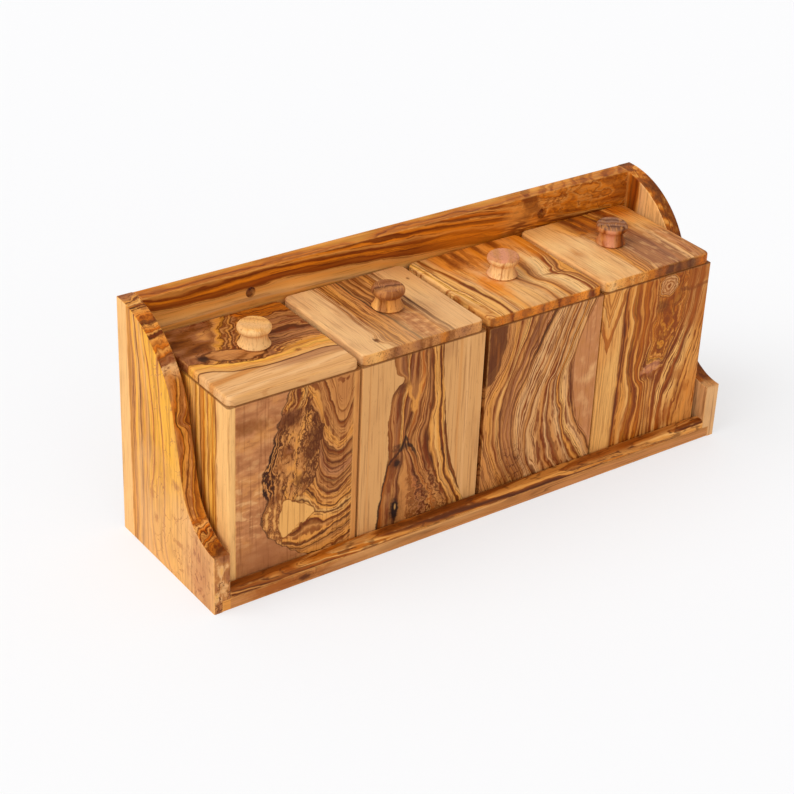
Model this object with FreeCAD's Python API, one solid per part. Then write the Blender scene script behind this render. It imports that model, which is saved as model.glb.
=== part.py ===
"""Wooden spice box: an open rack with ogee end boards that carries a row of lidded canisters.

Millimetres, +Z up, front towards -Y. The origin is the middle of the rack's underside.
"""
import FreeCAD
import Part
import math
import os

# Rack, overall and board by board
rack_length = 430.0
rack_depth = 120.0
rack_height = 175.0
end_board_thickness = 12.0
back_board_thickness = 12.0
base_board_thickness = 8.5
housing_depth = 6.0
rail_thickness = 8.0
rail_height = 7.0
rail_round = 2.5
board_ease = 0.8

# Ogee outline of the end boards: round shoulder, slanted straight run, hollow sweep to the front edge
front_edge_height = 43.0
top_flat = 2.5
run_lean_degrees = 12.5
shoulder_share = 0.636

# Holes for wall screws, high in the back board
hole_diameter = 7.5
hole_spacing = 245.0
hole_drop = 16.0

# Canisters, side by side in two pairs
canister_count = 4
canister_drop = 32.5
panel_thickness = 5.0
floor_thickness = 5.0
end_clearance = 3.85
pair_gap = 1.1
middle_gap = 3.3
tray_clearance = 0.75
panel_ease = 0.8
wall_corner_round = 2.0

# The side walls of the first canister lap its front and back panels, on the others the panels lap the walls
walls_lap_panels = (True, False, False, False)

# Lids, each planed by hand to a slightly different thickness
lid_thickness = 7.0
plane_step = 0.8
lid_plane_steps = (-1, 1, 0, 1)
lid_inset = 0.8
lid_corner_radius = 5.0
lid_top_round = 1.8
plug_thickness = 5.0
plug_clearance = 0.8
plug_lead_in = 1.0

# Turned knobs, from the foot up
foot_bevel = 1.2
foot_flare = 2.5
waist_diameter = 16.8
waist_height = 8.2
cove_height = 1.8
cap_overhang = 2.9
cap_thickness = 5.8
cap_rim_share = 0.45
cap_under_round = 1.5
cap_top_round = 2.0
tenon_diameter = 8.0
tenon_relief = 0.5
glue_gap = 0.1

# How far each knob, set by eye, stands to the right of its lid's middle and behind it
knob_offsets = ((1.8, 3.5), (3.8, 0.2), (-1.6, 0.4), (-3.3, 0.6))

# Working allowances
cut_overrun = 2.0
same_place = 0.001

# Places that several pieces share
front = -rack_depth / 2
back = rack_depth / 2
inner_end = rack_length / 2 - end_board_thickness
back_board_face = back - back_board_thickness
rail_face = front + rail_thickness
canister_front = rail_face + tray_clearance
canister_back = back_board_face - tray_clearance
canister_bottom = base_board_thickness
canister_top = rack_height - canister_drop
pair_count = canister_count // 2
row_gaps = pair_count * pair_gap + (pair_count - 1) * middle_gap
canister_width = (2 * (inner_end - end_clearance) - row_gaps) / canister_count


def block(x_range, y_range, z_range):
    corner = FreeCAD.Vector(x_range[0], y_range[0], z_range[0])
    length = x_range[1] - x_range[0]
    depth = y_range[1] - y_range[0]
    height = z_range[1] - z_range[0]
    return Part.makeBox(length, depth, height, corner)


def ease(shape, radius, chosen):
    """Round the edges of a shape that the given test picks."""
    return shape.makeFillet(radius, [edge for edge in shape.Edges if chosen(edge)])


def at(edge, axis, place):
    """True where the whole edge lies at one place along an axis (0 = X, 1 = Y, 2 = Z)."""
    return all(abs(vertex.Point[axis] - place) < same_place for vertex in edge.Vertexes)


def upright(edge):
    first, last = edge.Vertexes[0].Point, edge.Vertexes[-1].Point
    return math.hypot(first.x - last.x, first.y - last.y) < same_place


def arc_about(centre_u, centre_v, radius, start, end, point):
    """Arc between two angles in degrees, where point(u, v) places a flat point in space."""
    spots = []
    for angle in (start, (start + end) / 2, end):
        turn = math.radians(angle)
        spots.append(point(centre_u + radius * math.cos(turn), centre_v + radius * math.sin(turn)))
    return Part.Arc(*spots).toShape()


def end_outline(x):
    """Ogee face of an end board, in the plane at x.

    The two radii are the ones that make both arcs tangent to a run with the given lean, with the shoulder
    level at the top and the sweep level at the front edge.
    """
    lean = math.radians(run_lean_degrees)
    across = rack_depth - top_flat
    fall = rack_height - front_edge_height
    both_radii = (across * math.cos(lean) - fall * math.sin(lean)) / (1 - math.sin(lean))
    shoulder_radius = both_radii * shoulder_share
    sweep_radius = both_radii - shoulder_radius

    def point(y, z):
        return FreeCAD.Vector(x, y, z)

    shoulder = arc_about(back - top_flat, rack_height - shoulder_radius, shoulder_radius,
                         90, 180 - run_lean_degrees, point)
    sweep = arc_about(front, front_edge_height + sweep_radius, sweep_radius,
                      -run_lean_degrees, -90, point)
    run = Part.makeLine(shoulder.Vertexes[-1].Point, sweep.Vertexes[0].Point)
    rest = Part.makePolygon([
        point(front, front_edge_height),
        point(front, 0),
        point(back, 0),
        point(back, rack_height),
        point(back - top_flat, rack_height),
    ])
    return Part.Face(Part.Wire([shoulder, run, sweep] + rest.Edges))


def right_end_board():
    """End board with a rabbet along its lower inner corner that houses the base board."""
    outer = rack_length / 2
    board = end_outline(inner_end).extrude(FreeCAD.Vector(end_board_thickness, 0, 0))
    board = ease(board, board_ease, lambda edge: (at(edge, 0, inner_end) or at(edge, 0, outer))
                 and not at(edge, 2, 0))
    rabbet = block((inner_end - cut_overrun, inner_end + housing_depth),
                   (front - cut_overrun, back + cut_overrun),
                   (-cut_overrun, base_board_thickness))
    return board.cut(rabbet)


def back_board():
    """Board between the end boards, standing on the base, with the two wall holes."""
    board = block((-inner_end, inner_end), (back_board_face, back), (base_board_thickness, rack_height))
    board = ease(board, board_ease, lambda edge: at(edge, 2, rack_height) and
                 (at(edge, 1, back_board_face) or at(edge, 1, back)))
    length = back_board_thickness + 2 * cut_overrun
    height = rack_height - hole_drop
    for side in (-1, 1):
        mouth = FreeCAD.Vector(side * hole_spacing / 2, back_board_face - cut_overrun, height)
        board = board.cut(Part.makeCylinder(hole_diameter / 2, length, mouth, FreeCAD.Vector(0, 1, 0)))
    return board


def base_board():
    """Board under everything, its ends housed in the end boards."""
    end = inner_end + housing_depth
    board = block((-end, end), (front, back), (0, base_board_thickness))
    return ease(board, board_ease, lambda edge: at(edge, 1, front) and
                (at(edge, 2, 0) or at(edge, 2, base_board_thickness)))


def front_rail():
    """Low lip along the front of the base, round on top, that keeps the canisters in."""
    top = base_board_thickness + rail_height
    rail = block((-inner_end, inner_end), (front, rail_face), (base_board_thickness, top))
    rail = ease(rail, rail_round, lambda edge: at(edge, 1, front) and at(edge, 2, top))
    return ease(rail, board_ease, lambda edge: (at(edge, 1, rail_face) and at(edge, 2, top)) or
                (at(edge, 1, front) and at(edge, 2, base_board_thickness)))


def canister_left(number):
    """Left side of a canister in the row, counted from 0."""
    gaps_before = number * pair_gap - (number // 2) * (pair_gap - middle_gap)
    return -inner_end + end_clearance + number * canister_width + gaps_before


def canister(number):
    """The floor and four upright panels of one canister."""
    left = canister_left(number)
    right = left + canister_width
    inside_x = (left + panel_thickness, right - panel_thickness)
    inside_y = (canister_front + panel_thickness, canister_back - panel_thickness)
    upright_range = (canister_bottom, canister_top)
    walls_lap = walls_lap_panels[number]
    wall_y = (canister_front, canister_back) if walls_lap else inside_y
    panel_x = inside_x if walls_lap else (left, right)

    def outer_corner(edge):
        on_side = at(edge, 0, left) or at(edge, 0, right)
        on_front = at(edge, 1, canister_front) or at(edge, 1, canister_back)
        return upright(edge) and on_side and on_front

    walls = {
        "left_wall": block((left, inside_x[0]), wall_y, upright_range),
        "right_wall": block((inside_x[1], right), wall_y, upright_range),
    }
    panels = {
        "front_panel": block(panel_x, (canister_front, inside_y[0]), upright_range),
        "back_panel": block(panel_x, (inside_y[1], canister_back), upright_range),
    }
    lapping = walls if walls_lap else panels
    corner_round = wall_corner_round if walls_lap else panel_ease
    for name in lapping:
        lapping[name] = ease(lapping[name], corner_round, outer_corner)
    floor = block(inside_x, inside_y, (canister_bottom, canister_bottom + floor_thickness))
    return {**walls, **panels, "floor": floor}


def knob(tenon_length):
    """Turned knob that stands on z = 0: flared foot, waist, mushroom cap, and a tenon below."""
    waist = waist_diameter / 2
    foot = waist + foot_flare
    cap = waist + cap_overhang
    cove_end = cap - cap_under_round
    cap_bottom = waist_height + cove_height
    rim = cap_bottom + cap_thickness * cap_rim_share
    top = cap_bottom + cap_thickness
    tenon = tenon_diameter / 2

    def point(radius, z):
        return FreeCAD.Vector(radius, 0, z)

    def hollow(reach, rise):
        """Radius and turn in degrees of a hollow that leaves the waist upright."""
        radius = (reach ** 2 + rise ** 2) / (2 * reach)
        return radius, math.degrees(math.asin(rise / radius))

    flare_radius, flare_turn = hollow(foot_flare, waist_height - foot_bevel)
    cove_radius, cove_turn = hollow(cove_end - waist, cove_height)
    cap_edge = (point(cove_end, cap_bottom), point(cap, rim), point(cap - cap_top_round, top))
    turned = [
        arc_about(waist + flare_radius, waist_height, flare_radius, 180 + flare_turn, 180, point),
        arc_about(waist + cove_radius, waist_height, cove_radius, 180, 180 - cove_turn, point),
        Part.Arc(*cap_edge).toShape(),
    ]
    straight = Part.makePolygon([
        cap_edge[-1],
        point(0, top),
        point(0, -tenon_length),
        point(tenon, -tenon_length),
        point(tenon, 0),
        point(foot - foot_bevel, 0),
        point(foot, foot_bevel),
    ])
    outline = Part.Face(Part.Wire(turned + straight.Edges))
    return outline.revolve(FreeCAD.Vector(0, 0, 0), FreeCAD.Vector(0, 0, 1), 360)


def lid(number):
    """Lid board with round corners, the plug that centres it in the canister, and its knob."""
    left = canister_left(number)
    right = left + canister_width
    thickness = lid_thickness + lid_plane_steps[number] * plane_step
    top = canister_top + thickness
    rightward, backward = knob_offsets[number]
    middle = FreeCAD.Vector((left + right) / 2, (canister_front + canister_back) / 2, top)
    knob_place = middle + FreeCAD.Vector(rightward, backward, 0)

    board = block((left + lid_inset, right - lid_inset),
                  (canister_front + lid_inset, canister_back - lid_inset), (canister_top, top))
    board = ease(board, lid_corner_radius, upright)
    board = ease(board, lid_top_round, lambda edge: at(edge, 2, top))
    bore_start = knob_place - FreeCAD.Vector(0, 0, thickness + cut_overrun)
    bore = Part.makeCylinder(tenon_diameter / 2 + glue_gap, thickness + 2 * cut_overrun, bore_start)

    margin = panel_thickness + plug_clearance
    plug_bottom = canister_top - plug_thickness
    plug = block((left + margin, right - margin),
                 (canister_front + margin, canister_back - margin), (plug_bottom, canister_top))
    plug = plug.makeChamfer(plug_lead_in, [edge for edge in plug.Edges if at(edge, 2, plug_bottom)])

    turned_knob = knob(thickness - tenon_relief)
    turned_knob.translate(knob_place)
    return {"board": board.cut(bore), "plug": plug, "knob": turned_knob}


def spice_box():
    """Every piece by its node name."""
    right_end = right_end_board()
    pieces = {
        "left_end_board": right_end.mirror(FreeCAD.Vector(0, 0, 0), FreeCAD.Vector(1, 0, 0)),
        "right_end_board": right_end,
        "back_board": back_board(),
        "base_board": base_board(),
        "front_rail": front_rail(),
    }
    for number in range(canister_count):
        for name, shape in canister(number).items():
            pieces[f"canister_{number + 1}_{name}"] = shape
        for name, shape in lid(number).items():
            pieces[f"lid_{number + 1}_{name}"] = shape
    return pieces


os.makedirs("parts", exist_ok=True)
for node, shape in spice_box().items():
    shape.exportStep(f"parts/{node}.step")
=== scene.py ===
"""Looks of the wooden spice box: oiled olive wood on every board, seen as in the photograph."""
import math
import bpy
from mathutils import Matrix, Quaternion, Vector


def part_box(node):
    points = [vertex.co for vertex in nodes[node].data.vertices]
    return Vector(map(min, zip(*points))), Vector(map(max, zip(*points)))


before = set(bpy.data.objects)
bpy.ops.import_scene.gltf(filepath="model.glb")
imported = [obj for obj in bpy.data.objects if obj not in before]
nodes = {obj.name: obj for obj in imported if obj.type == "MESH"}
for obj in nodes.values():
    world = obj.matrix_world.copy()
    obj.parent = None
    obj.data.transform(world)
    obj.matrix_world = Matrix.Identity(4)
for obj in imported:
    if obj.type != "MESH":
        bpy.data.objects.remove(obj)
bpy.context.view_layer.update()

# Metres to the millimetres that the wood's figure is laid out in
MM_PER_METRE = 1000.0
MM = 1 / MM_PER_METRE

# The photograph's view
camera_place = Vector((-728.7, -946.2, 750.8)) * MM
camera_aim = Vector((-34.7, 0.0, 76.8)) * MM
camera_roll = math.radians(2.5)
camera_lens = 89.6
sensor_width = 36.0

# Plain soft light
sky_level = 0.62
key_level = 1.75
key_direction = Vector((1.0, -0.2, -1.05))
key_softness = math.radians(50)
fill_level = 1.0
fill_direction = Vector((0.35, 1.0, -0.35))
fill_softness = math.radians(80)

# How far a knob stands above its lid, in millimetres
knob_height = 15.8

# The height at which the lids meet their canisters, and the width of the painted shade line there, in
# millimetres
canister_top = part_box("canister_1_front_panel")[1].z * MM_PER_METRE
shade_line_width = 0.9

# The faces of the end boards and of the back board that look at the canisters, in millimetres
end_inner_face = 203
back_front_face = 48

# How strongly each board's clouding, fibres, pores and rubbed arrises show, and the painted shade line
# under a lid
cloud_share = 0.4
fibre_share = 0.35
pore_share = 0.3
rub_share = 0.25
shade_line_share = 0.65

# The oiled finish, with the relief of its grain in millimetres
oil_roughness = 0.48
oil_gloss = 0.12
grain_relief = 0.12
grain_relief_strength = 0.25

# How far apart two seeds lie in the noise, in millimetres
seed_step = (37, 61, 89)

# The most colours that one ramp holds, and the sockets of a Mix node that carry colour
ramp_limit = 32
mix_under = 6
mix_over = 7
mix_result = 2


def tone(red, green, blue):
    """A colour as the eye reads it, 0 to 255 on the sRGB curve, in the linear light that shaders take."""
    def linear(value):
        share = value / 255
        if share <= 0.04045:
            return share / 12.92
        return ((share + 0.055) / 1.055) ** 2.4
    return (linear(red), linear(green), linear(blue), 1.0)


# Pale matt floor, and the share of it that shows as white to the camera
floor_reach = 8.0
floor_tone = tone(236, 236, 238)
floor_roughness = 0.9
floor_glow = 0.55
white = tone(255, 255, 255)

# Tones of olive wood, from the pale sapwood to the black of a knot
cream = tone(238, 190, 126)
peach = tone(238, 182, 112)
wheat = tone(224, 168, 108)
straw = tone(230, 168, 92)
flax = tone(212, 155, 94)
oat = tone(228, 177, 120)
gold = tone(244, 178, 74)
mustard = tone(238, 170, 52)
honey = tone(222, 148, 66)
tan = tone(204, 136, 70)
fawn = tone(186, 120, 62)
tangerine = tone(220, 124, 20)
orange = tone(200, 104, 14)
bronze = tone(206, 136, 44)
amber = tone(190, 106, 22)
rose = tone(192, 126, 76)
pink = tone(208, 136, 98)
ash = tone(150, 104, 76)
mauve = tone(160, 98, 56)
rust = tone(156, 78, 14)
brown = tone(134, 72, 22)
sienna = tone(118, 48, 4)
umber = tone(92, 42, 10)
ink = tone(40, 18, 8)


class Field:
    """A number or a colour that varies over a board, open to sums: one output of its node tree."""

    def __init__(self, wood, socket):
        self.wood = wood
        self.socket = socket

    def __add__(self, other):
        return self.wood.work("ADD", self, other)

    def __sub__(self, other):
        return self.wood.work("SUBTRACT", self, other)

    def __rsub__(self, other):
        return self.wood.work("SUBTRACT", other, self)

    def __mul__(self, other):
        return self.wood.work("MULTIPLY", self, other)

    def __truediv__(self, other):
        return self.wood.work("DIVIDE", self, other)

    __radd__ = __add__
    __rmul__ = __mul__

    def __abs__(self):
        return self.wood.work("ABSOLUTE", self)

    def coat(self, over, mask, blend="MIX"):
        """This colour with another over it where the mask is 1."""
        step = self.wood.node("ShaderNodeMix", data_type="RGBA", blend_type=blend)
        self.wood.feed(step.inputs[0], mask)
        self.wood.feed(step.inputs[mix_under], self)
        self.wood.feed(step.inputs[mix_over], over)
        return Field(self.wood, step.outputs[mix_result])


class Wood:
    """The node tree of one board's wood.

    Places are millimetres in the object's frame, named by how the grain runs: along it and across it over
    the board's face, and deep into the board.
    """

    def __init__(self, name, along, across):
        self.material = bpy.data.materials.new(name)
        self.material.use_nodes = True
        self.tree = self.material.node_tree
        self.shader = self.tree.nodes["Principled BSDF"]
        metres = self.node("ShaderNodeTexCoord").outputs["Object"]
        scaled = self.node("ShaderNodeVectorMath", operation="SCALE")
        scaled.inputs["Scale"].default_value = MM_PER_METRE
        self.tree.links.new(metres, scaled.inputs[0])
        split = self.node("ShaderNodeSeparateXYZ")
        self.tree.links.new(scaled.outputs[0], split.inputs[0])
        self.place = {axis: Field(self, split.outputs[axis.upper()]) for axis in "xyz"}
        self.along = self.place[along]
        self.across = self.place[across]
        self.deep = next(self.place[axis] for axis in "xyz" if axis not in (along, across))
        self.spaces = {}

    def node(self, kind, **settings):
        """A new node of a kind, with its settings."""
        made = self.tree.nodes.new(kind)
        for setting, value in settings.items():
            setattr(made, setting, value)
        return made

    def feed(self, socket, value):
        """Links a field or a colour to a socket, or sets a plain value there."""
        if isinstance(value, Field):
            self.tree.links.new(value.socket, socket)
        else:
            socket.default_value = value

    def work(self, operation, *inputs):
        """One sum on fields and plain values."""
        step = self.node("ShaderNodeMath", operation=operation)
        for socket, value in zip(step.inputs, inputs):
            self.feed(socket, value)
        return Field(self, step.outputs[0])

    def rise(self, field, start, end):
        """0 up to start, 1 from end on, smooth between. It falls where start is the larger."""
        step = self.node("ShaderNodeMapRange", interpolation_type="SMOOTHSTEP")
        self.feed(step.inputs["Value"], field)
        step.inputs["From Min"].default_value = start
        step.inputs["From Max"].default_value = end
        return Field(self, step.outputs["Result"])

    def space(self, stretch, flow, run):
        """The board's places with the grain drawn out by a factor, for noise. A flow bends the grain."""
        key = (stretch, flow, run)
        if key not in self.spaces:
            joined = self.node("ShaderNodeCombineXYZ")
            self.feed(joined.inputs[0], (run or self.along) / stretch)
            self.feed(joined.inputs[1], flow or self.across)
            self.feed(joined.inputs[2], self.deep)
            self.spaces[key] = joined.outputs[0]
        return self.spaces[key]

    def noise(self, size, stretch=1.0, detail=2.0, seed=0.0, flow=None, run=None):
        """Smooth noise about zero, mostly within -0.5 and 0.5, with marks of a size across the grain."""
        moved = self.node("ShaderNodeVectorMath", operation="ADD")
        self.tree.links.new(self.space(stretch, flow, run), moved.inputs[0])
        moved.inputs[1].default_value = [seed * step for step in seed_step]
        cloud = self.node("ShaderNodeTexNoise")
        self.tree.links.new(moved.outputs[0], cloud.inputs["Vector"])
        cloud.inputs["Scale"].default_value = 1 / size
        cloud.inputs["Detail"].default_value = detail
        return self.work("MULTIPLY_ADD", Field(self, cloud.outputs["Fac"]), 2.0, -1.0)

    def ripple(self, field, size, seed=0.0, detail=1.0):
        """Noise about zero that follows one field, so it draws lines along the field's contours."""
        cloud = self.node("ShaderNodeTexNoise", noise_dimensions="1D")
        self.feed(cloud.inputs["W"], self.work("MULTIPLY_ADD", field, 1 / size, seed))
        cloud.inputs["Scale"].default_value = 1.0
        cloud.inputs["Detail"].default_value = detail
        return self.work("MULTIPLY_ADD", Field(self, cloud.outputs["Fac"]), 2.0, -1.0)

    def curve(self, field, points):
        """A smooth line through points of (place, value), level beyond its ends."""
        points = sorted(points)
        places = [place for place, value in points]
        values = [value for place, value in points]
        reach = places[-1] - places[0]
        least = min(values)
        spread = max(values) - least
        step = self.node("ShaderNodeFloatCurve")
        step.mapping.extend = "HORIZONTAL"
        dots = step.mapping.curves[0].points
        while len(dots) < len(points):
            dots.new(1.0, 1.0)
        for dot, place, value in zip(dots, places, values):
            dot.location = ((place - places[0]) / reach, (value - least) / spread)
        step.mapping.update()
        self.feed(step.inputs["Value"], (field - places[0]) / reach)
        return self.work("MULTIPLY_ADD", Field(self, step.outputs[0]), spread, least)

    def line(self, points):
        """A line down the board, as (along, across)."""
        return self.curve(self.along, points)

    def between(self, guides, run=None, side=None):
        """A flow whose contours follow guide lines: each is the flow's value and (run, side) points."""
        drawn = [(value, self.curve(run or self.along, points)) for value, points in guides]
        flow = drawn[0][0]
        for (low_value, low), (high_value, high) in zip(drawn, drawn[1:]):
            step = self.node("ShaderNodeMapRange")
            self.feed(step.inputs["Value"], side or self.across)
            self.feed(step.inputs["From Min"], low)
            self.feed(step.inputs["From Max"], high)
            step.inputs["To Max"].default_value = high_value - low_value
            flow = Field(self, step.outputs["Result"]) + flow
        return flow

    def stripes(self, field, stops):
        """Colours laid along a field, as (place, tone). A long row of them is laid in two halves."""
        if len(stops) > ramp_limit:
            half = len(stops) // 2
            past = self.work("GREATER_THAN", field, stops[half][0])
            return self.stripes(field, stops[:half + 1]).coat(self.stripes(field, stops[half:]), past)
        low, high = stops[0][0], stops[-1][0]
        step = self.node("ShaderNodeValToRGB")
        ramp = step.color_ramp
        ramp.elements[0].color = stops[0][1]
        ramp.elements[-1].color = stops[-1][1]
        for place, colour in stops[1:-1]:
            ramp.elements.new((place - low) / (high - low)).color = colour
        self.feed(step.inputs[0], (field - low) / (high - low))
        return Field(self, step.outputs[0])

    def reach(self, middle, size, turn=0.0):
        """How far a place lies from a middle, where 1 is the rim of an oval. Both are (along, across)."""
        run = self.along - middle[0]
        side = self.across - middle[1]
        if turn:
            cosine, sine = math.cos(math.radians(turn)), math.sin(math.radians(turn))
            run, side = run * cosine + side * sine, side * cosine - run * sine
        run = run / size[0]
        side = side / size[1]
        return self.work("SQRT", run * run + side * side)

    def spot(self, middle, size, turn=0.0, soft=0.5, ragged=0.0, seed=0.0):
        """An oval mask with a soft, uneven rim."""
        reach = self.reach(middle, size, turn)
        if ragged:
            reach = reach + self.noise(min(size) * 0.9, detail=3.0, seed=seed) * ragged
        return self.rise(reach, 1 + soft, 1 - soft)

    def blots(self, colour, *rows):
        """A colour with ovals on it, each a tone, share, middle, size, softness, raggedness and seed."""
        for tint, share, middle, size, soft, ragged, seed in rows:
            oval = self.spot(middle, size, soft=soft, ragged=ragged, seed=seed)
            colour = colour.coat(tint, oval * share)
        return colour

    def scatter(self, colour, tint, share, soft, ragged, marks):
        """A colour with ovals of one tone on it, each a middle and a size."""
        rows = [(tint, share, middle, size, soft, ragged, sum(middle)) for middle, size in marks]
        return self.blots(colour, *rows)

    def contour(self, field, width):
        """A line where the field is zero."""
        return self.rise(abs(field), width, width * 0.3)

    def facing(self, axis):
        """1 on faces square to an axis, 0 on faces that run along it."""
        split = self.node("ShaderNodeSeparateXYZ")
        self.tree.links.new(self.node("ShaderNodeNewGeometry").outputs["Normal"], split.inputs[0])
        return abs(Field(self, split.outputs[axis.upper()]))

    def around(self, field, middle, size):
        """The field with its contours parted to flow round a knot."""
        reach = self.reach(middle, size)
        squared = reach * reach
        return middle[1] + (field - middle[1]) * (squared / (squared + 1))

    def rings(self, field, spacing, seed=0.0):
        """Growth rings: each darkens slowly and ends at a sharp line, and no two are alike."""
        wander = field + self.ripple(field, spacing * 3, seed) * (spacing * 1.2)
        turn = self.work("FRACT", wander / spacing)
        growth = self.rise(turn, 0.4, 0.9) * self.rise(turn, 1.0, 0.94)
        strength = self.rise(self.ripple(field, spacing * 1.7, seed + 40), -0.35, 0.25)
        fade = self.rise(self.noise(16, stretch=4.0, seed=seed + 80), -0.35, 0.15)
        return growth * strength * fade

    def threads(self, field, spacing, seed=0.0):
        """Thin lines along a field's contours, unevenly spaced and broken here and there."""
        wander = field + self.ripple(field, spacing * 2.5, seed) * (spacing * 1.5)
        line = self.contour(self.work("FRACT", wander / spacing) - 0.5, 0.24)
        return line * self.rise(self.noise(6, stretch=3.0, detail=3.0, seed=seed + 20), -0.12, 0.12)

    def scribble(self, size, width, seed, stretch=1.3):
        """Thin lines that curl and break off."""
        lines = self.contour(self.noise(size, stretch=stretch, detail=3.0, seed=seed), width)
        return lines * self.rise(self.noise(size * 1.4, seed=seed + 0.5), -0.12, 0.1)

    def figure(self, flow, stops, seed, spacing=1.9, dark=0.75, run=None, streaks=0.55):
        """Stripes along a flow, frayed at their edges, with streaks and fine dark lines between them."""
        frayed = flow + self.noise(4.5, stretch=4.0, detail=4.0, seed=seed, flow=flow, run=run) * 1.8
        colour = self.stripes(frayed, stops)
        streak = self.noise(2.6, stretch=16.0, detail=4.0, seed=seed + 1, flow=frayed, run=run)
        colour = colour.coat(brown, self.rise(streak, 0.04, 0.4) * streaks, "MULTIPLY")
        colour = colour.coat(cream, self.rise(streak, -0.08, -0.45) * 0.3, "SOFT_LIGHT")
        lines = self.rings(frayed, spacing, seed + 2)
        colour = colour.coat(umber, lines * dark)
        threads = self.threads(frayed, spacing * 1.6, seed + 3)
        return colour.coat(sienna, threads * dark), lines

    def front_edge(self, colour, stops, seed):
        """End grain along a lid's front edge: short upright bands, darker than the top."""
        bands = self.stripes(self.place["x"] + self.noise(5, detail=3.0, seed=seed) * 5, stops)
        bands = bands.coat(umber, self.scribble(4, 0.08, seed + 0.3) * 0.5)
        return colour.coat(bands, self.rise(self.facing("y"), 0.35, 0.75) * 0.9)

    def edge_distance(self, node):
        """How far a place on a board's skin lies from the board's nearest arris."""
        low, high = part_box(node)
        gaps = []
        for number, axis in enumerate("xyz"):
            from_low = self.place[axis] - low[number] * MM_PER_METRE
            to_high = high[number] * MM_PER_METRE - self.place[axis]
            gaps.append(self.work("MINIMUM", from_low, to_high))
        nearer = self.work("MINIMUM", gaps[0], gaps[1])
        farther = self.work("MAXIMUM", gaps[0], gaps[1])
        return self.work("MAXIMUM", nearer, self.work("MINIMUM", farther, gaps[2]))

    def finish(self, colour, node, lines, seed):
        """Fibres, pores, clouding, rubbed arrises and the oiled sheen that every board has, and painted
        shade where a lid meets its canister.
        """
        cloud = self.noise(30, stretch=1.8, detail=3.0, seed=seed + 3)
        colour = colour.coat(brown, self.rise(cloud, 0.0, 0.8) * cloud_share, "MULTIPLY")
        fibre = self.noise(1.3, stretch=30.0, detail=3.0, seed=seed + 5)
        colour = colour.coat(brown, self.rise(fibre, 0.03, 0.4) * fibre_share, "MULTIPLY")
        pore = self.rise(self.noise(0.55, stretch=9.0, seed=seed + 7), 0.3, 0.5)
        colour = colour.coat(umber, pore * pore_share)
        worn = self.edge_distance(node) + self.noise(6, detail=2.0, seed=seed + 9) * 1.2
        colour = colour.coat(straw, self.rise(worn, 1.0, 0.2) * rub_share)
        # Painted shade: a dark line where the lids meet their canisters, standing in for the shadow in
        # the gap under each lid
        if node.startswith(("canister", "lid")):
            lid_shade_line = self.contour(self.place["z"] - canister_top, shade_line_width)
            colour = colour.coat(umber, lid_shade_line * shade_line_share)
        self.feed(self.shader.inputs["Base Color"], colour)
        sheen = oil_roughness + fibre * 0.1 + cloud * 0.08 + pore * 0.12
        self.feed(self.shader.inputs["Roughness"], sheen)
        height = fibre * 0.5 - pore - lines * 0.6
        bump = self.node("ShaderNodeBump")
        bump.inputs["Strength"].default_value = grain_relief_strength
        bump.inputs["Distance"].default_value = grain_relief * MM
        self.feed(bump.inputs["Height"], height)
        self.tree.links.new(bump.outputs[0], self.shader.inputs["Normal"])
        self.shader.inputs["Specular IOR Level"].default_value = oil_gloss
        return self.material


def plain_wood(wood, seed):
    """Straight-grained board, for the pieces that show little."""
    flow = wood.across + wood.noise(40, stretch=3.0, seed=seed) * 9 + wood.deep * 0.4
    band = wood.ripple(flow, 14, seed)
    colour = wood.stripes(band, [(-0.5, brown), (-0.15, honey), (0.1, straw), (0.5, tan)])
    lines = wood.rings(flow, 3.2, seed)
    return colour.coat(umber, lines * 0.7), lines


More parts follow.
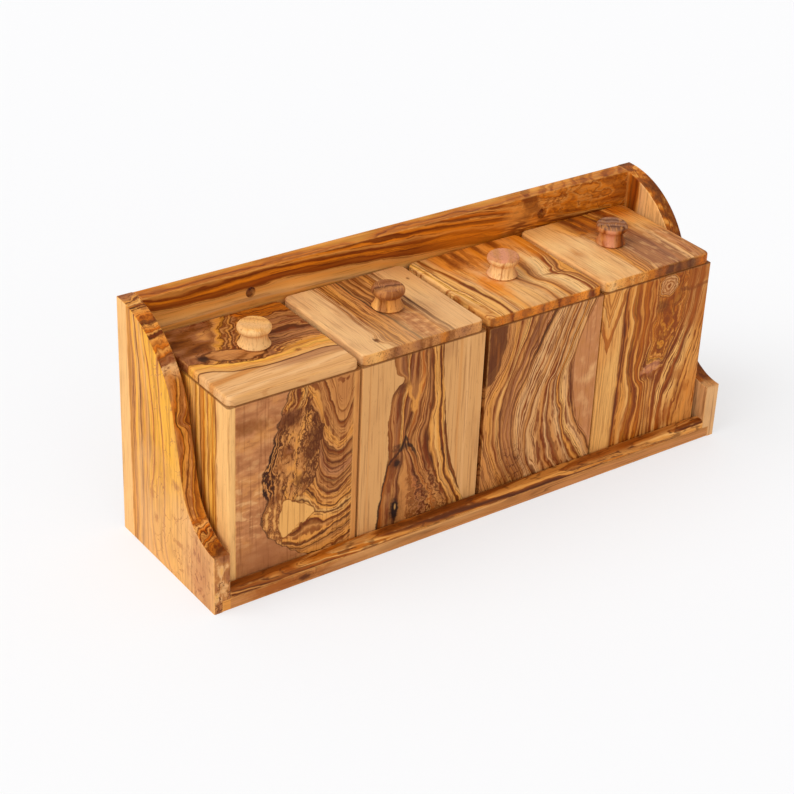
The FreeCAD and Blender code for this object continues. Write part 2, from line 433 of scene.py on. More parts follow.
def left_end_wood(wood):
    """Upright gold stripes, pale along the back and rosy low in front, with an orange rim cut across."""
    flow = wood.between([
        (-75, [(0, -75), (175, -74)]),
        (3, [(0, -7), (15, 1), (25, 3), (40, 2), (80, 2), (100, 3), (120, 6), (155, 8), (175, 13)]),
        (15, [(0, 12), (50, 20), (62, 17), (75, 15), (95, 14.5), (115, 16), (140, 20), (165, 26),
              (175, 28)]),
        (31, [(0, 34), (30, 31), (80, 31), (110, 31), (130, 31.5), (150, 34), (175, 37.5)]),
        (40, [(0, 41), (30, 40), (60, 40), (90, 41), (130, 39), (150, 41), (175, 43)]),
        (47, [(0, 46), (90, 47), (175, 48)]),
        (60, [(0, 60), (175, 60.5)]),
    ])
    flow = flow + wood.noise(14, stretch=3.0, detail=3.0, seed=1) * wood.rise(wood.across, 48, 40) * 2
    face, lines = wood.figure(flow, [
        (-75, straw), (-30, straw), (-8, mustard), (1.4, mustard), (2.5, honey), (3.1, rust),
        (3.7, honey), (5, mustard), (9, mustard), (10.2, honey), (11, mustard), (13.8, mustard),
        (14.7, amber), (15.3, rust), (16, honey), (18, mustard), (22, straw), (25, honey),
        (26.5, mustard), (29.4, honey), (30.5, brown), (31.2, ink), (31.8, honey), (33.5, straw),
        (36.5, mustard), (38.6, honey), (39.6, brown), (40.3, honey), (41.4, brown), (42.2, honey),
        (44.4, bronze), (45.8, honey), (47.4, peach), (60, peach)], 2, spacing=5, dark=0.3, streaks=0.3)
    pale_back = wood.rise(wood.across + wood.noise(20, stretch=4.0, seed=3) * 2, 46, 49)
    face = face.coat(peach, pale_back * 0.8)
    low = wood.rise(wood.along + wood.noise(30, detail=3.0, seed=4) * 40, 90, 40)
    low = low * wood.rise(wood.across, 46, 34)
    face = face.coat(wheat, low * 0.6)
    face = face.coat(fawn, wood.scribble(11, 0.03, 5) * wood.rise(wood.across, 26, 12) * 0.8)
    face = wood.scatter(face, fawn, 0.8, 0.7, 1.2, [
        ((33, 14), (3, 2)), ((50, 19), (4, 2)), ((72, -13), (3, 4)), ((29, -16), (2, 5))])
    bruise = wood.spot((20, -43), (26, 13), soft=0.7, ragged=0.9, seed=7)
    face = face.coat(rose, bruise * 0.7)
    veins = wood.rise(wood.noise(4, stretch=1.3, detail=4.0, seed=8), 0.06, 0.25)
    face = face.coat(mauve, bruise * veins * 0.9)
    colour = left_rim_wood(wood).coat(face, wood.rise(wood.facing("x"), 0.45, 0.75))
    return colour, lines


def rim_length(wood):
    """How far a place on an end board's ogee rim lies from the rim's top, measured along the rim."""
    return wood.curve(wood.along + wood.across, [
        (-60, 235), (-17, 193), (-1, 179.5), (18, 166), (38, 152), (53, 140), (109, 95), (137, 74),
        (163, 56), (188, 38), (212, 20), (232.5, 2.5), (235, 0)])


def left_rim_wood(wood):
    """Bands across the shoulder, lines that part round a knot below it, and a rosy scrawled foot."""
    length = rim_length(wood)
    wander = wood.noise(12, detail=3.0, seed=9)
    bands = wood.figure(length + wander * 7 + wood.deep * 0.15 + 31, [
        (0, mauve), (5, fawn), (7, honey), (8, umber), (9.4, honey), (12, straw), (14.6, amber),
        (16, ink), (17, honey), (18, umber), (19.4, honey), (27, orange), (29.4, brown), (31, umber),
        (32.6, honey), (37, orange), (38, rust), (39, honey), (40.4, umber), (42.6, umber), (44, honey),
        (49, orange), (50, rust), (51, honey), (53.6, orange), (54.6, brown), (60, mauve), (61, wheat),
        (72, tan)], 10, spacing=3.6, dark=0.6, run=wood.deep)[0]
    strand = wood.between([
        (0, [(60, -222), (160, -224)]),
        (8, [(64, -206), (80, -209), (90, -211), (97, -212.5), (103, -210.5), (110, -209.5), (120, -211),
             (133, -214.5), (150, -217)]),
        (12, [(64, -203), (80, -206), (92, -209), (97, -211.5), (102, -207), (110, -205.5), (120, -207),
              (135, -210), (150, -213)]),
        (17, [(64, -199), (85, -202), (95, -205), (98, -206), (104, -202), (120, -203), (140, -206),
              (160, -209)]),
        (25, [(60, -192), (160, -197)]),
    ], run=length, side=wood.deep)
    straight = wood.figure(strand + wander * 2, [
        (0, honey), (5, tan), (7.2, amber), (8, umber), (8.8, bronze), (11, honey), (11.7, umber),
        (12.4, honey), (14.5, tan), (15.4, rust), (16.2, bronze), (17, brown), (18, amber), (20, bronze),
        (25, brown)], 12, spacing=3.2, dark=0.5, run=length)[0]
    plum = wood.rise(wood.deep * 1.6 - length * 0.16 + wander * 8, -344, -339)
    straight = straight.coat(mauve, plum * wood.rise(length, 132, 144) * 0.7)
    colour = bands.coat(straight, wood.rise(length + wander * 6, 66, 74))
    sweep = wood.figure(length + wander * 9 + wood.deep * 0.5, [
        (40, honey), (57, orange), (58, brown), (59, honey), (62, straw), (63, brown), (64, honey),
        (66.6, orange), (67.6, umber), (68.6, honey), (70.6, brown), (72, orange), (73.4, umber),
        (75, honey), (77, brown), (79, amber), (83, umber), (88, brown), (90, mauve), (100, mauve)],
        14, spacing=2.4, dark=0.8, run=wood.deep)[0]
    colour = colour.coat(sweep, wood.rise(length + wander * 6, 158, 164))
    foot = wood.stripes(wood.noise(7, stretch=1.6, detail=4.0, seed=16), [
        (-0.35, brown), (-0.15, mauve), (0.05, fawn), (0.2, wheat), (0.4, straw)])
    foot = foot.coat(umber, wood.scribble(6, 0.06, 17) * wood.rise(length, 204, 212) * 0.8)
    return colour.coat(foot, wood.rise(length + wander * 6, 188, 194))


def right_rim_wood(wood):
    """Dark mottled shoulder, and a plain tan foot."""
    length = rim_length(wood)
    wander = wood.noise(12, detail=3.0, seed=18)
    cloud = wood.stripes(wood.noise(8, stretch=1.4, detail=4.0, seed=19) + wander * 0.3, [
        (-0.4, umber), (-0.15, brown), (0.0, rust), (0.15, amber), (0.3, honey)])
    cloud = cloud.coat(umber, wood.rings(wood.deep * 1.6 + length * 0.3 + wander * 10, 2.8, 20) * 0.8)
    plain = wood.figure(wood.deep + length * 0.05 + wander * 3, [
        (200, tan), (208, flax), (214, flax), (222, tan)], 15, spacing=3.0, dark=0.25, run=length)[0]
    plain = plain.coat(oat, wood.rise(length, 190, 196) * 0.8)
    dusk = wood.rise(wood.deep + wander * 8, 207, 210) * wood.rise(length, 16, 30)
    cloud = cloud.coat(umber, dusk * 0.6)
    return cloud.coat(plain, wood.rise(length + wander * 10, 182, 190))


def right_end_wood(wood):
    """Pale inner face with a dark back stripe, and a brown rim."""
    flow = wood.across + wood.noise(26, stretch=3.0, seed=11) * 5
    face, lines = wood.figure(flow, [
        (-60, wheat), (-35, oat), (0, peach), (24, peach), (33, wheat), (35, honey), (36.4, rust),
        (38, sienna), (41, rust), (43, brown), (45, orange), (48, honey), (50, orange), (60, rust)],
        12, spacing=3.0, dark=0.3, streaks=0.25)
    colour = right_rim_wood(wood).coat(face, wood.rise(wood.facing("x"), 0.45, 0.75))
    return colour, lines


def back_right_end(wood, colour, flow, right):
    """The back board with scrawled and blotched wood at its right end."""
    swirl = wood.noise(13, stretch=1.6, detail=4.0, seed=25)
    clouded = wood.stripes(swirl, [
        (-0.4, honey), (-0.16, tangerine), (-0.08, rust), (-0.02, honey), (0.08, tangerine), (0.2, rust),
        (0.26, amber), (0.4, rust)])
    colour = colour.coat(clouded, right * wood.rise(flow, 174, 180) * 0.7)
    colour = colour.coat(sienna, wood.scribble(9, 0.05, 26, stretch=2.0) * right * 0.55)
    colour = wood.blots(
        colour,
        (honey, 0.6, (103, 160), (13, 10), 0.7, 0.8, 28),
        (sienna, 0.9, (110, 173), (6, 4), 0.6, 1.2, 27))
    sweeps = wood.contour(wood.noise(6, stretch=7.0, detail=2.0, seed=18, flow=flow), 0.12)
    middle_bands = sweeps * right * wood.rise(flow, 160, 168) * wood.rise(flow, 182, 172)
    colour = colour.coat(sienna, middle_bands * 0.8)
    return wood.blots(colour, (brown, 0.7, (114, 168), (9, 9), 0.6, 1.2, 17))


def back_top_edge(wood, colour, right):
    """The back board with amber waves along its top edge, and slanting strokes at the right."""
    upward = wood.rise(wood.facing("z"), 0.5, 0.8)
    waves = wood.deep - 52.5 + wood.noise(26, stretch=1.6, detail=3.0, seed=29) * 14
    crest = wood.stripes(waves, [
        (-7, rust), (-3, amber), (-1.4, sienna), (-0.4, rust), (1, amber), (5, bronze), (9, honey)])
    colour = colour.coat(crest, upward * 0.75)
    slanting = wood.along * 0.8 - wood.deep * 0.6 + wood.noise(9, detail=3.0, seed=23) * 6
    strokes = wood.stripes(wood.ripple(slanting, 6, 24), [
        (-0.3, sienna), (-0.1, rust), (0.05, amber), (0.3, honey)])
    return colour.coat(strokes, upward * right * 0.45)


def back_wood(wood):
    """Orange bands that fall to the right over a calm honey field, with a livelier right end."""
    flow = wood.between([
        (8, [(-203, 8), (203, 7)]),
        (150, [(-203, 150), (-100, 149), (0, 142), (100, 132), (203, 120)]),
        (166, [(-203, 168), (-150, 164), (-100, 165), (-60, 162), (0, 158), (40, 155), (80, 150),
               (203, 138)]),
        (172, [(-203, 173), (-160, 169), (-110, 171), (-50, 169), (0, 165), (50, 160), (100, 153),
               (203, 146)]),
        (180, [(-203, 181), (-100, 178), (-50, 176), (0, 173), (50, 168), (100, 162), (150, 156),
               (203, 150)]),
        (200, [(-203, 202), (0, 190), (100, 181), (203, 172)]),
    ])
    tilt = (wood.deep - back_front_face) * 1.1
    flow = flow + wood.noise(14, stretch=5.0, detail=3.0, seed=21) * 4 + tilt
    colour, lines = wood.figure(flow, [
        (8, honey), (60, tan), (90, honey), (140, straw), (150, straw), (160, straw), (163.4, honey),
        (164.4, rust), (165.2, sienna), (166.6, rust), (168.2, rust), (169.4, tangerine),
        (171, tangerine), (172.2, sienna), (173.4, rust), (175, honey), (177, tangerine), (178.2, rust),
        (179.4, sienna), (180.6, tangerine), (183.4, honey), (184.6, sienna), (186, orange), (189, honey),
        (190.4, sienna), (191.6, amber), (196, honey), (198, rust), (204, straw), (215, tan)],
        22, spacing=1.7, streaks=0.35)
    broad = wood.ripple(flow, 26, 20, detail=3.0)
    calm = wood.stripes(broad, [
        (-0.5, tan), (-0.25, honey), (0.0, straw), (0.15, flax), (0.25, honey), (0.5, tan)])
    calm = calm.coat(brown, wood.threads(flow, 4.5, 19) * 0.25)
    lower = wood.rise(flow, 163.6, 161) * wood.rise(wood.along, 70, 20)
    lower = wood.work("MAXIMUM", lower, wood.rise(flow, 150, 132))
    colour = colour.coat(calm, lower)
    bright = wood.rise(wood.along, 0, 50) * wood.rise(wood.along, 150, 120) * wood.rise(flow, 182, 174)
    colour = colour.coat(tangerine, bright * 0.5)
    right = wood.rise(wood.along + wood.noise(20, seed=24) * 20, 84, 104) * wood.rise(flow, 138, 150)
    colour = back_right_end(wood, colour, flow, right)
    return back_top_edge(wood, colour, right), lines


def base_wood(wood):
    """Dull pale edge with brown stretches and a small knot towards the left."""
    flow = wood.across - wood.along * 0.02 + wood.deep * 0.3 + wood.noise(12, stretch=9.0, seed=31) * 7
    flow = wood.around(flow, (-147, 4.5), (9, 3))
    colour = wood.stripes(wood.ripple(flow, 7, 32), [
        (-0.6, brown), (-0.25, fawn), (0.05, tan), (0.4, rose), (0.7, brown)])
    lines = wood.rings(flow, 1.8, 33)
    colour = colour.coat(umber, lines * 0.6)
    colour = wood.blots(
        colour,
        (rust, 0.8, (-168, 5), (20, 5), 0.6, 0.6, 34),
        (rust, 0.7, (-120, 4), (24, 4), 0.6, 0.6, 35),
        (umber, 0.9, (-147, 4.5), (4.5, 2.2), 0.5, 0.5, 36))
    faded = wood.rise(wood.noise(20, stretch=5.0, detail=3.0, seed=37), -0.05, 0.3)
    colour = colour.coat(flax, faded * 0.6)
    housed_end = wood.rise(wood.along, 0.5 - end_inner_face, -0.5 - end_inner_face)
    return colour.coat(honey, housed_end * 0.8), lines


def rail_wood(wood):
    """Fine slanting lines in honey and brown, with darker and paler stretches, and painted shade on the
    top face.
    """
    slant = wood.across - wood.deep * 0.5 + wood.along * 0.045
    flow = slant + wood.noise(10, stretch=4.0, detail=3.0, seed=41) * 4
    wave = wood.ripple(flow, 4, 42)
    pale = wood.stripes(wave, [(-0.35, umber), (-0.12, rust), (0.0, honey), (0.18, straw), (0.35, amber)])
    dark = wood.stripes(wave, [(-0.35, umber), (-0.1, brown), (0.08, rust), (0.3, honey)])
    upward = wood.rise(wood.facing("z"), 0.5, 0.8)
    # Painted shade: the top face leans towards the dark stretches
    dusk = wood.noise(30, stretch=3.0, detail=3.0, seed=44) + 0.2 + upward * 0.2
    stretches = (
        (-190, 26, 0.6), (-154, 7, 0.6), (-115, 28, -0.5), (-38, 46, 0.4), (46, 22, 0.4), (185, 26, -0.3))
    for place, length, depth in stretches:
        near = abs(wood.along - place)
        dusk = dusk + wood.rise(near, length + 16, length - 10) * depth
    colour = pale.coat(dark, wood.rise(dusk, 0.0, 0.7))
    lines = wood.threads(flow, 1.5, 43)
    colour = colour.coat(umber, lines * 0.9)
    # Painted shade: rust over the top face
    colour = colour.coat(rust, upward * 0.4)
    return colour.coat(umber, wood.scribble(9, 0.07, 45, stretch=4.0) * 0.6), lines


def hanging_rings(wood):
    """Rings that hang like bowls, and their fine lines."""
    bowl = wood.between([
        (8, [(-175, 8), (-140, 2), (-100, 14)]),
        (17, [(-170, 30), (-155, 18), (-140, 15), (-120, 17), (-100, 28)]),
        (29, [(-165, 33), (-155, 28), (-145, 25), (-135, 25), (-125, 28), (-115, 32), (-100, 41)]),
        (37, [(-162, 37), (-150, 37), (-141, 42), (-132, 40), (-125, 37), (-115, 38.5), (-100, 48)]),
        (42, [(-150, 64), (-141, 56), (-135, 47), (-128, 43.5), (-120, 42.5), (-110, 46), (-100, 56)]),
        (47, [(-150, 72), (-142, 66), (-136, 57), (-131, 51), (-122, 47), (-112, 50), (-100, 61)]),
        (58, [(-142, 86), (-136, 78), (-132, 65), (-126, 58.5), (-117, 58), (-108, 64), (-100, 73)]),
        (67, [(-138, 100), (-133, 90), (-130, 76), (-125, 69), (-117, 66.5), (-108, 72), (-100, 81)]),
        (78, [(-138, 112), (-133, 106), (-129, 92), (-125, 83), (-118, 78), (-110, 81), (-100, 89)]),
        (86, [(-144, 142), (-139, 127), (-133, 117), (-130, 107), (-128, 95), (-122, 88), (-115, 86),
              (-108, 91), (-100, 99)]),
        (107, [(-134, 160), (-128, 140), (-121, 120), (-114, 107), (-108, 117), (-100, 140)]),
        (125, [(-128, 175), (-121, 150), (-114, 125), (-107, 142), (-100, 165)]),
    ], run=wood.across, side=wood.along)
    bowl = bowl + wood.noise(9, detail=3.0, seed=51) * 3.5
    return wood.figure(bowl, [
        (8, honey), (16, tan), (17, brown), (18, honey), (23, tan), (24.4, umber), (26, honey), (28, tan),
        (29, umber), (31, honey), (34, tan), (35.5, brown), (37, umber), (38, honey), (40.8, straw),
        (42, umber), (43.2, straw), (45.6, honey), (47, umber), (48.4, honey), (52, tan), (53, brown),
        (54, honey), (57.4, tan), (58.4, umber), (60, tan), (63, fawn), (64, brown), (65, tan),
        (66.8, umber), (68.4, fawn), (72, rose), (74, mauve), (76, fawn), (78, umber), (81, fawn),
        (85, brown), (86, umber), (88, tan), (92, honey), (97, tan), (104, fawn), (106, brown),
        (107.4, umber), (109, tan), (114, fawn), (115, brown), (116.4, tan), (125, fawn)],
        52, spacing=2.2, dark=0.75, run=wood.across)


def curled_burl(wood, past_seam):
    """Curled rosy and brown wood beside the seam, dark in its creases."""
    patch = past_seam + wood.noise(11, stretch=1.4, detail=4.0, seed=57) * 26
    burl = wood.stripes(patch, [
        (-8, umber), (-2, brown), (3, mauve), (8, brown), (12, fawn), (16, tan), (20, honey), (24, tan),
        (27, fawn), (30, brown), (32, tan), (34.5, umber), (37, fawn), (39.5, umber), (41.5, tan),
        (44, brown)])
    strand = past_seam + wood.noise(7, stretch=1.8, detail=4.0, seed=58) * 11
    burl = burl.coat(umber, wood.threads(strand, 3.2, 59) * 0.9)
    burl = burl.coat(umber, wood.scribble(5, 0.09, 60, stretch=1.6) * 0.85)
    burl = burl.coat(umber, wood.scribble(8, 0.06, 49, stretch=2.0) * 0.85)
    burl = wood.scatter(burl, umber, 0.8, 0.7, 1.4, [
        ((104, -135), (6, 6)), ((74, -145), (5, 5)), ((121, -155), (6, 7)), ((93, -138), (6, 5))])
    return burl


def bark_seam(wood, colour, past_seam, past_rim):
    """The front with a band of bark along the seam, and sinews along the burl's rim."""
    bark = wood.rise(past_seam + wood.noise(6, seed=50) * 4, 11, 8)
    bark = bark * wood.rise(wood.along, 62, 72) * wood.rise(wood.along, 118, 106)
    strokes = past_seam + wood.noise(6, stretch=2.5, detail=4.0, seed=64) * 7
    bark_tone = wood.stripes(strokes, [
        (0, ink), (1, fawn), (1.8, tan), (2.4, ink), (3.4, umber), (4.0, tan), (4.6, brown), (5.4, ink),
        (6.4, umber), (7.0, tan), (7.8, fawn), (8.4, umber), (9.4, fawn), (10.4, brown)])
    colour = colour.coat(bark_tone, bark * 0.95)
    sinews = wood.threads(past_rim + wood.noise(7, detail=3.0, seed=53) * 3, 2.6, 54)
    beside = wood.rise(past_rim, -13, -8) * wood.rise(past_rim, 0, -1) * wood.rise(wood.along, 60, 66)
    return colour.coat(umber, sinews * beside * 0.9)


def pale_island(wood, colour):
    """The front with a pale three-cornered island low in the burl."""
    east = wood.across + 160
    north = (63.5 - wood.along) - (wood.across + 158) * 0.7
    south = (wood.along - 35) - (wood.across + 158) * 0.5
    inside = wood.work("SMOOTH_MIN", east, wood.work("SMOOTH_MIN", north, south, 6), 6)
    inside = inside + 1 + wood.noise(11, detail=4.0, seed=65) * 7
    colour = colour.coat(straw, wood.rise(inside, 0.0, 1.2))
    return colour.coat(brown, wood.contour(inside, 0.8) * 0.7)


def rosy_side(wood):
    """Mottled rosy wood to the left of the seam."""
    mottle = wood.noise(22, stretch=0.8, detail=4.0, seed=66)
    side = wood.stripes(mottle, [(-0.4, mauve), (-0.02, rose), (0.35, tan), (0.6, wheat)])
    curl = wood.noise(10, stretch=0.4, detail=3.0, seed=67)
    side = side.coat(mauve, wood.rise(curl, 0.02, 0.35) * 0.7)
    curled = wood.spot((66, -186), (26, 14), soft=0.7)
    side = side.coat(wheat, wood.rise(curl, -0.02, -0.3) * (0.25 + curled * 0.5))
    return wood.blots(
        side,
        (brown, 0.7, (125, -184), (4.5, 16), 0.8, 1.0, 68),
        (mauve, 0.7, (24, -174), (14, 30), 0.7, 0.7, 69))


def canister_1_front_wood(wood):
    """Burl beside a dark seam of bark, with rosy wood on its left and bowl-like rings on its right."""
    hung, lines = hanging_rings(wood)
    seam = wood.line([
        (15, -140), (20, -148), (27, -157), (33, -164), (40, -170), (48, -173.5), (57, -174), (62, -171),
        (72, -173), (84, -174), (90, -172), (100, -168), (110, -166), (120, -163), (130, -159.5),
        (142, -154)])
    past_seam = wood.across - seam + wood.noise(6, detail=4.0, seed=55) * 4
    burl_rim = wood.line([
        (56, -160), (60, -152), (66, -141), (75, -135), (90, -132), (108, -130.5), (117, -133),
        (127, -138), (142, -140)])
    past_rim = wood.across - burl_rim + wood.noise(6, detail=4.0, seed=56) * 5
    burl = curled_burl(wood, past_seam)
    colour = hung.coat(burl, wood.rise(past_rim, 0.8, -0.8))
    colour = colour.coat(umber, wood.contour(past_rim, 0.8) * wood.rise(wood.along, 58, 66) * 0.8)
    crown = wood.figure(past_seam + wood.noise(9, stretch=2.0, detail=3.0, seed=61) * 5, [
        (-2, umber), (0.5, tan), (2.4, brown), (3.2, honey), (6, umber), (7, tan), (9, fawn), (10, umber),
        (11, honey), (14, straw), (16, brown), (17, honey), (22, tan)], 62, spacing=2.6, dark=0.8)[0]
    colour = colour.coat(crown, wood.rise(wood.along, 126, 130) * wood.rise(past_rim, 0.8, -0.8))
    scrawl_tone = wood.stripes(wood.noise(3.2, stretch=1.6, detail=3.0, seed=63), [
        (-0.35, straw), (-0.12, tan), (0.0, brown), (0.08, fawn), (0.2, umber), (0.35, fawn)])
    scrawled = wood.rise(wood.across, -159, -161) * wood.rise(wood.along, 66, 60)
    colour = colour.coat(scrawl_tone, scrawled * 0.9)
    colour = bark_seam(wood, colour, past_seam, past_rim)
    colour = pale_island(wood, colour)
    colour = rosy_side(wood).coat(colour, wood.rise(past_seam, -0.5, 0.5))
    return colour.coat(ink, wood.contour(past_seam, 0.9) * 0.6), lines


def crowned_cone(wood, colour, flow):
    """The heart with a dark-crowned cone round its upper knot, and a dark patch near the top."""
    arch = wood.curve(wood.across, [
        (-84, 40), (-80, 56), (-77, 63), (-73, 68), (-69, 71.5), (-66, 74), (-63.5, 79), (-61.5, 76),
        (-59, 73), (-56, 68), (-53, 60), (-48, 50), (-40, 34)])
    over_arch = wood.along - arch + wood.noise(6, detail=4.0, seed=78) * 5
    cone = wood.figure(flow, [
        (-78, umber), (-76.4, rust), (-74, fawn), (-72, mauve), (-70, tan), (-67.4, mauve),
        (-66.4, umber), (-65.4, tan), (-62.4, fawn), (-61.2, brown), (-60.4, fawn), (-59, mauve),
        (-58, umber)], 79, spacing=2.0)[0]
    colour = colour.coat(cone, wood.rise(over_arch, 1, -1) * wood.rise(flow, -57.2, -58.2))
    crown = wood.contour(over_arch, 2.6) * wood.rise(wood.across, -80, -76)
    crown = crown * wood.rise(wood.across, -51, -56)
    colour = colour.coat(ink, crown * 0.85)
    return wood.blots(
        colour,
        (ink, 0.7, (74, -66), (3, 6), 0.7, 1.3, 82),
        (umber, 0.6, (63, -70), (6, 5), 0.7, 0.8, 83),
        (ink, 0.9, (62, -70), (3, 2.6), 0.6, 0.6, 84),
        (umber, 0.8, (120, -70), (3.5, 7), 0.7, 0.8, 85))


def canister_2_front_wood(wood):
    """Pale sapwood on both sides of a dark heart that spreads downwards round two knots."""
    left_rim = [
        (8, -85), (30, -83.5), (40, -82), (52, -80), (65, -77.5), (80, -77), (95, -78.5), (105, -77),
        (116, -75), (121, -71), (124.5, -66.5), (127, -68.5), (132, -74), (142, -76)]
    right_rim = [
        (8, -10), (20, -14.5), (30, -18), (40, -21.5), (50, -25), (65, -28.5), (80, -30.5), (100, -32.5),
        (120, -34.5), (142, -35.5)]
    flow = wood.between([
        (-78, left_rim),
        (-66, [(8, -69), (30, -68.5), (45, -68.5), (58, -66), (70, -66), (85, -66), (100, -66),
               (120, -63), (142, -62)]),
        (-58, [(8, -44), (20, -45), (30, -46), (36, -48), (43, -51), (50, -55), (58, -57.5), (66, -60),
               (72, -63), (80, -64.5), (100, -61), (120, -57), (142, -56)]),
        (-52, [(8, -33), (20, -36), (30, -40), (40, -46), (50, -51), (62, -55), (75, -58.5), (90, -55),
               (100, -53), (115, -50), (142, -49)]),
        (-42, [(8, -22), (20, -26.5), (32, -32), (45, -37.5), (60, -43), (75, -46), (90, -44),
               (110, -42), (142, -45)]),
        (-36, [(8, -16), (25, -21.5), (38, -27.5), (50, -31), (65, -34), (80, -36), (100, -36.5),
               (142, -38.5)]),
        (-32, right_rim),
    ])
    rough = wood.noise(5, stretch=1.6, detail=3.0, seed=71)
    past_left = wood.across - wood.line(left_rim) + rough * 2.4
    past_right = wood.line(right_rim) - wood.across + rough
    heart = wood.rise(past_left, -0.5, 0.5) * wood.rise(past_right, -0.4, 0.4)
    curls = wood.rise(wood.along, 62, 30) * wood.rise(flow, -66, -62) * wood.rise(flow, -40, -46)
    flow = flow + wood.noise(10, stretch=2.5, detail=3.0, seed=73) * 2.5
    flow = flow + curls * wood.noise(4, stretch=0.8, detail=3.0, seed=72) * 6
    colour, lines = wood.figure(flow, [
        (-78, brown), (-74, fawn), (-71, mauve), (-68.6, brown), (-67.6, straw), (-66.4, honey),
        (-65.6, umber), (-62.6, mauve), (-60.6, fawn), (-58.6, brown), (-57.6, umber), (-56, tan),
        (-54, rust), (-53, fawn), (-52, brown), (-50, tan), (-48, fawn), (-46.6, umber), (-45.4, fawn),
        (-43.6, brown), (-42.6, umber), (-41.6, honey), (-38.8, straw), (-37.2, honey), (-36.4, umber),
        (-35.4, brown), (-34.6, honey), (-33.4, straw), (-32.6, umber), (-32, brown)],
        74, spacing=1.6, dark=0.85)
    wedge = (wood.along - 96) * 0.28 - abs(wood.across + 57.5)
    wedge = wedge + wood.noise(9, detail=3.0, seed=77) * 4
    upper = wood.rise(wood.along, 94, 100) * wood.rise(wood.along, 128, 116)
    colour = colour.coat(fawn, wood.rise(wedge, -0.5, 1) * upper * 0.6)
    colour = colour.coat(honey, wood.contour(wedge - 0.8, 2.4) * upper * 0.8)
    colour = crowned_cone(wood, colour, flow)
    sap_flow = wood.across + wood.noise(30, stretch=6.0, seed=86) * 6
    sap = wood.stripes(wood.ripple(sap_flow, 9, 86, detail=2.0), [
        (-0.5, tan), (-0.2, flax), (0.2, flax), (0.5, wheat)])
    colour = sap.coat(colour, heart)
    colour = colour.coat(ink, wood.contour(past_left, 0.9) * wood.rise(wood.along, 85, 40) * 0.85)
    colour = wood.blots(colour, (umber, 0.5, (26, -71), (14, 6), 0.8, 0.8, 87))
    colour = colour.coat(ink, wood.spot((26, -71), (8, 3.4), soft=0.4, ragged=0.6, seed=88))
    return colour.coat(straw, wood.spot((28, -70.2), (2.2, 0.7), soft=0.5) * 0.6), lines


def canister_3_front_wood(wood):
    """Long stripes that sweep down to the left and turn back to the right."""
    flow = wood.between([
        (-14, [(8, 4), (40, -6), (70, -12), (100, -6), (110, 5), (125, 12), (142, 13)]),
        (9, [(8, 26), (18, 22), (28, 17), (40, 13), (55, 10), (80, 9), (90, 12), (97, 17), (110, 23),
             (125, 26), (142, 28)]),
        (17, [(8, 33), (18, 30), (34, 22), (42, 19), (52, 17), (65, 16), (80, 17), (92, 20), (105, 25),
              (128, 33), (142, 38)]),
        (28, [(8, 42), (20, 38), (38, 30), (48, 27), (60, 25.5), (70, 26), (82, 30), (97, 36), (118, 46),
              (142, 58)]),
        (45, [(8, 52), (20, 46), (30, 41), (55, 40), (68, 42), (78, 45), (90, 50), (103, 56), (128, 66),
              (142, 72)]),
        (58, [(8, 78), (22, 70), (35, 65), (50, 60), (65, 58), (83, 58), (93, 63), (103, 67), (130, 76),
              (142, 80)]),
        (66, [(8, 96), (20, 88), (40, 76), (50, 72), (62, 69), (75, 66), (90, 67.5), (103, 73),
              (130, 83), (142, 87)]),
        (77, [(8, 108), (25, 99), (40, 89), (50, 84), (60, 81), (72, 78), (83, 76), (93, 76), (103, 79),
              (130, 88), (142, 93)]),
        (105, [(8, 135), (30, 122), (60, 108), (90, 104), (142, 118)]),
    ])
    flow = flow + wood.noise(12, stretch=2.5, detail=3.0, seed=91) * 3
    colour, lines = wood.figure(flow, [
        (-14, fawn), (2, tan), (6, honey), (8.4, tan), (9.4, brown), (11, fawn), (14.4, straw),
        (15.6, tan), (16.8, umber), (18, fawn), (19.4, tan), (20.4, brown), (21.6, rose), (23.4, tan),
        (24.4, brown), (25.4, rose), (26.4, tan), (27.4, umber), (28.6, tan), (33, wheat), (36, wheat),
        (37, rust), (38.4, wheat), (43.6, tan), (45, brown), (46.4, wheat), (52.6, tan), (54, rust),
        (55.6, wheat), (57.4, sienna), (58.8, tan), (62.4, wheat), (63.6, brown), (64.6, honey),
        (65.8, sienna), (67, straw), (71, wheat), (74.6, tan), (75.8, umber), (77, fawn), (78.4, rose)],
        92, spacing=1.5, dark=0.85, streaks=0.6)
    mottle = wood.noise(11, stretch=1.4, detail=3.0, seed=95)
    field = wood.stripes(mottle, [(-0.4, fawn), (0.0, rose), (0.4, wheat)])
    colour = colour.coat(field, wood.rise(flow, 78, 80) * 0.9)
    grey = wood.spot((62, 23), (34, 5), soft=0.6, ragged=0.5, seed=94)
    colour = colour.coat(mauve, grey * 0.35)
    streak = wood.contour(flow - 28.4, 1.6) * wood.rise(wood.along, 108, 122)
    colour = colour.coat(ink, streak * 0.6)
    corner = wood.reach((135, -2), (38, 18.5)) + wood.noise(8, detail=3.0, seed=96) * 0.12
    dark = wood.rise(corner, 1.03, 0.97)
    shade = wood.stripes(wood.noise(4, stretch=6.0, detail=3.0, seed=97), [
        (-0.4, brown), (0.0, umber), (0.4, umber)])
    colour = colour.coat(shade, dark * 0.85)
    foot = wood.spot((24, 27), (16, 11), soft=0.6, ragged=0.9, seed=98)
    colour = colour.coat(brown, foot * 0.5)
    scrawl = wood.contour(wood.noise(7, detail=3.0, seed=99), 0.06)
    scrawl = scrawl * wood.spot((26, 27), (18, 13), soft=0.5)
    colour = colour.coat(umber, scrawl * 0.8)
    return colour, lines


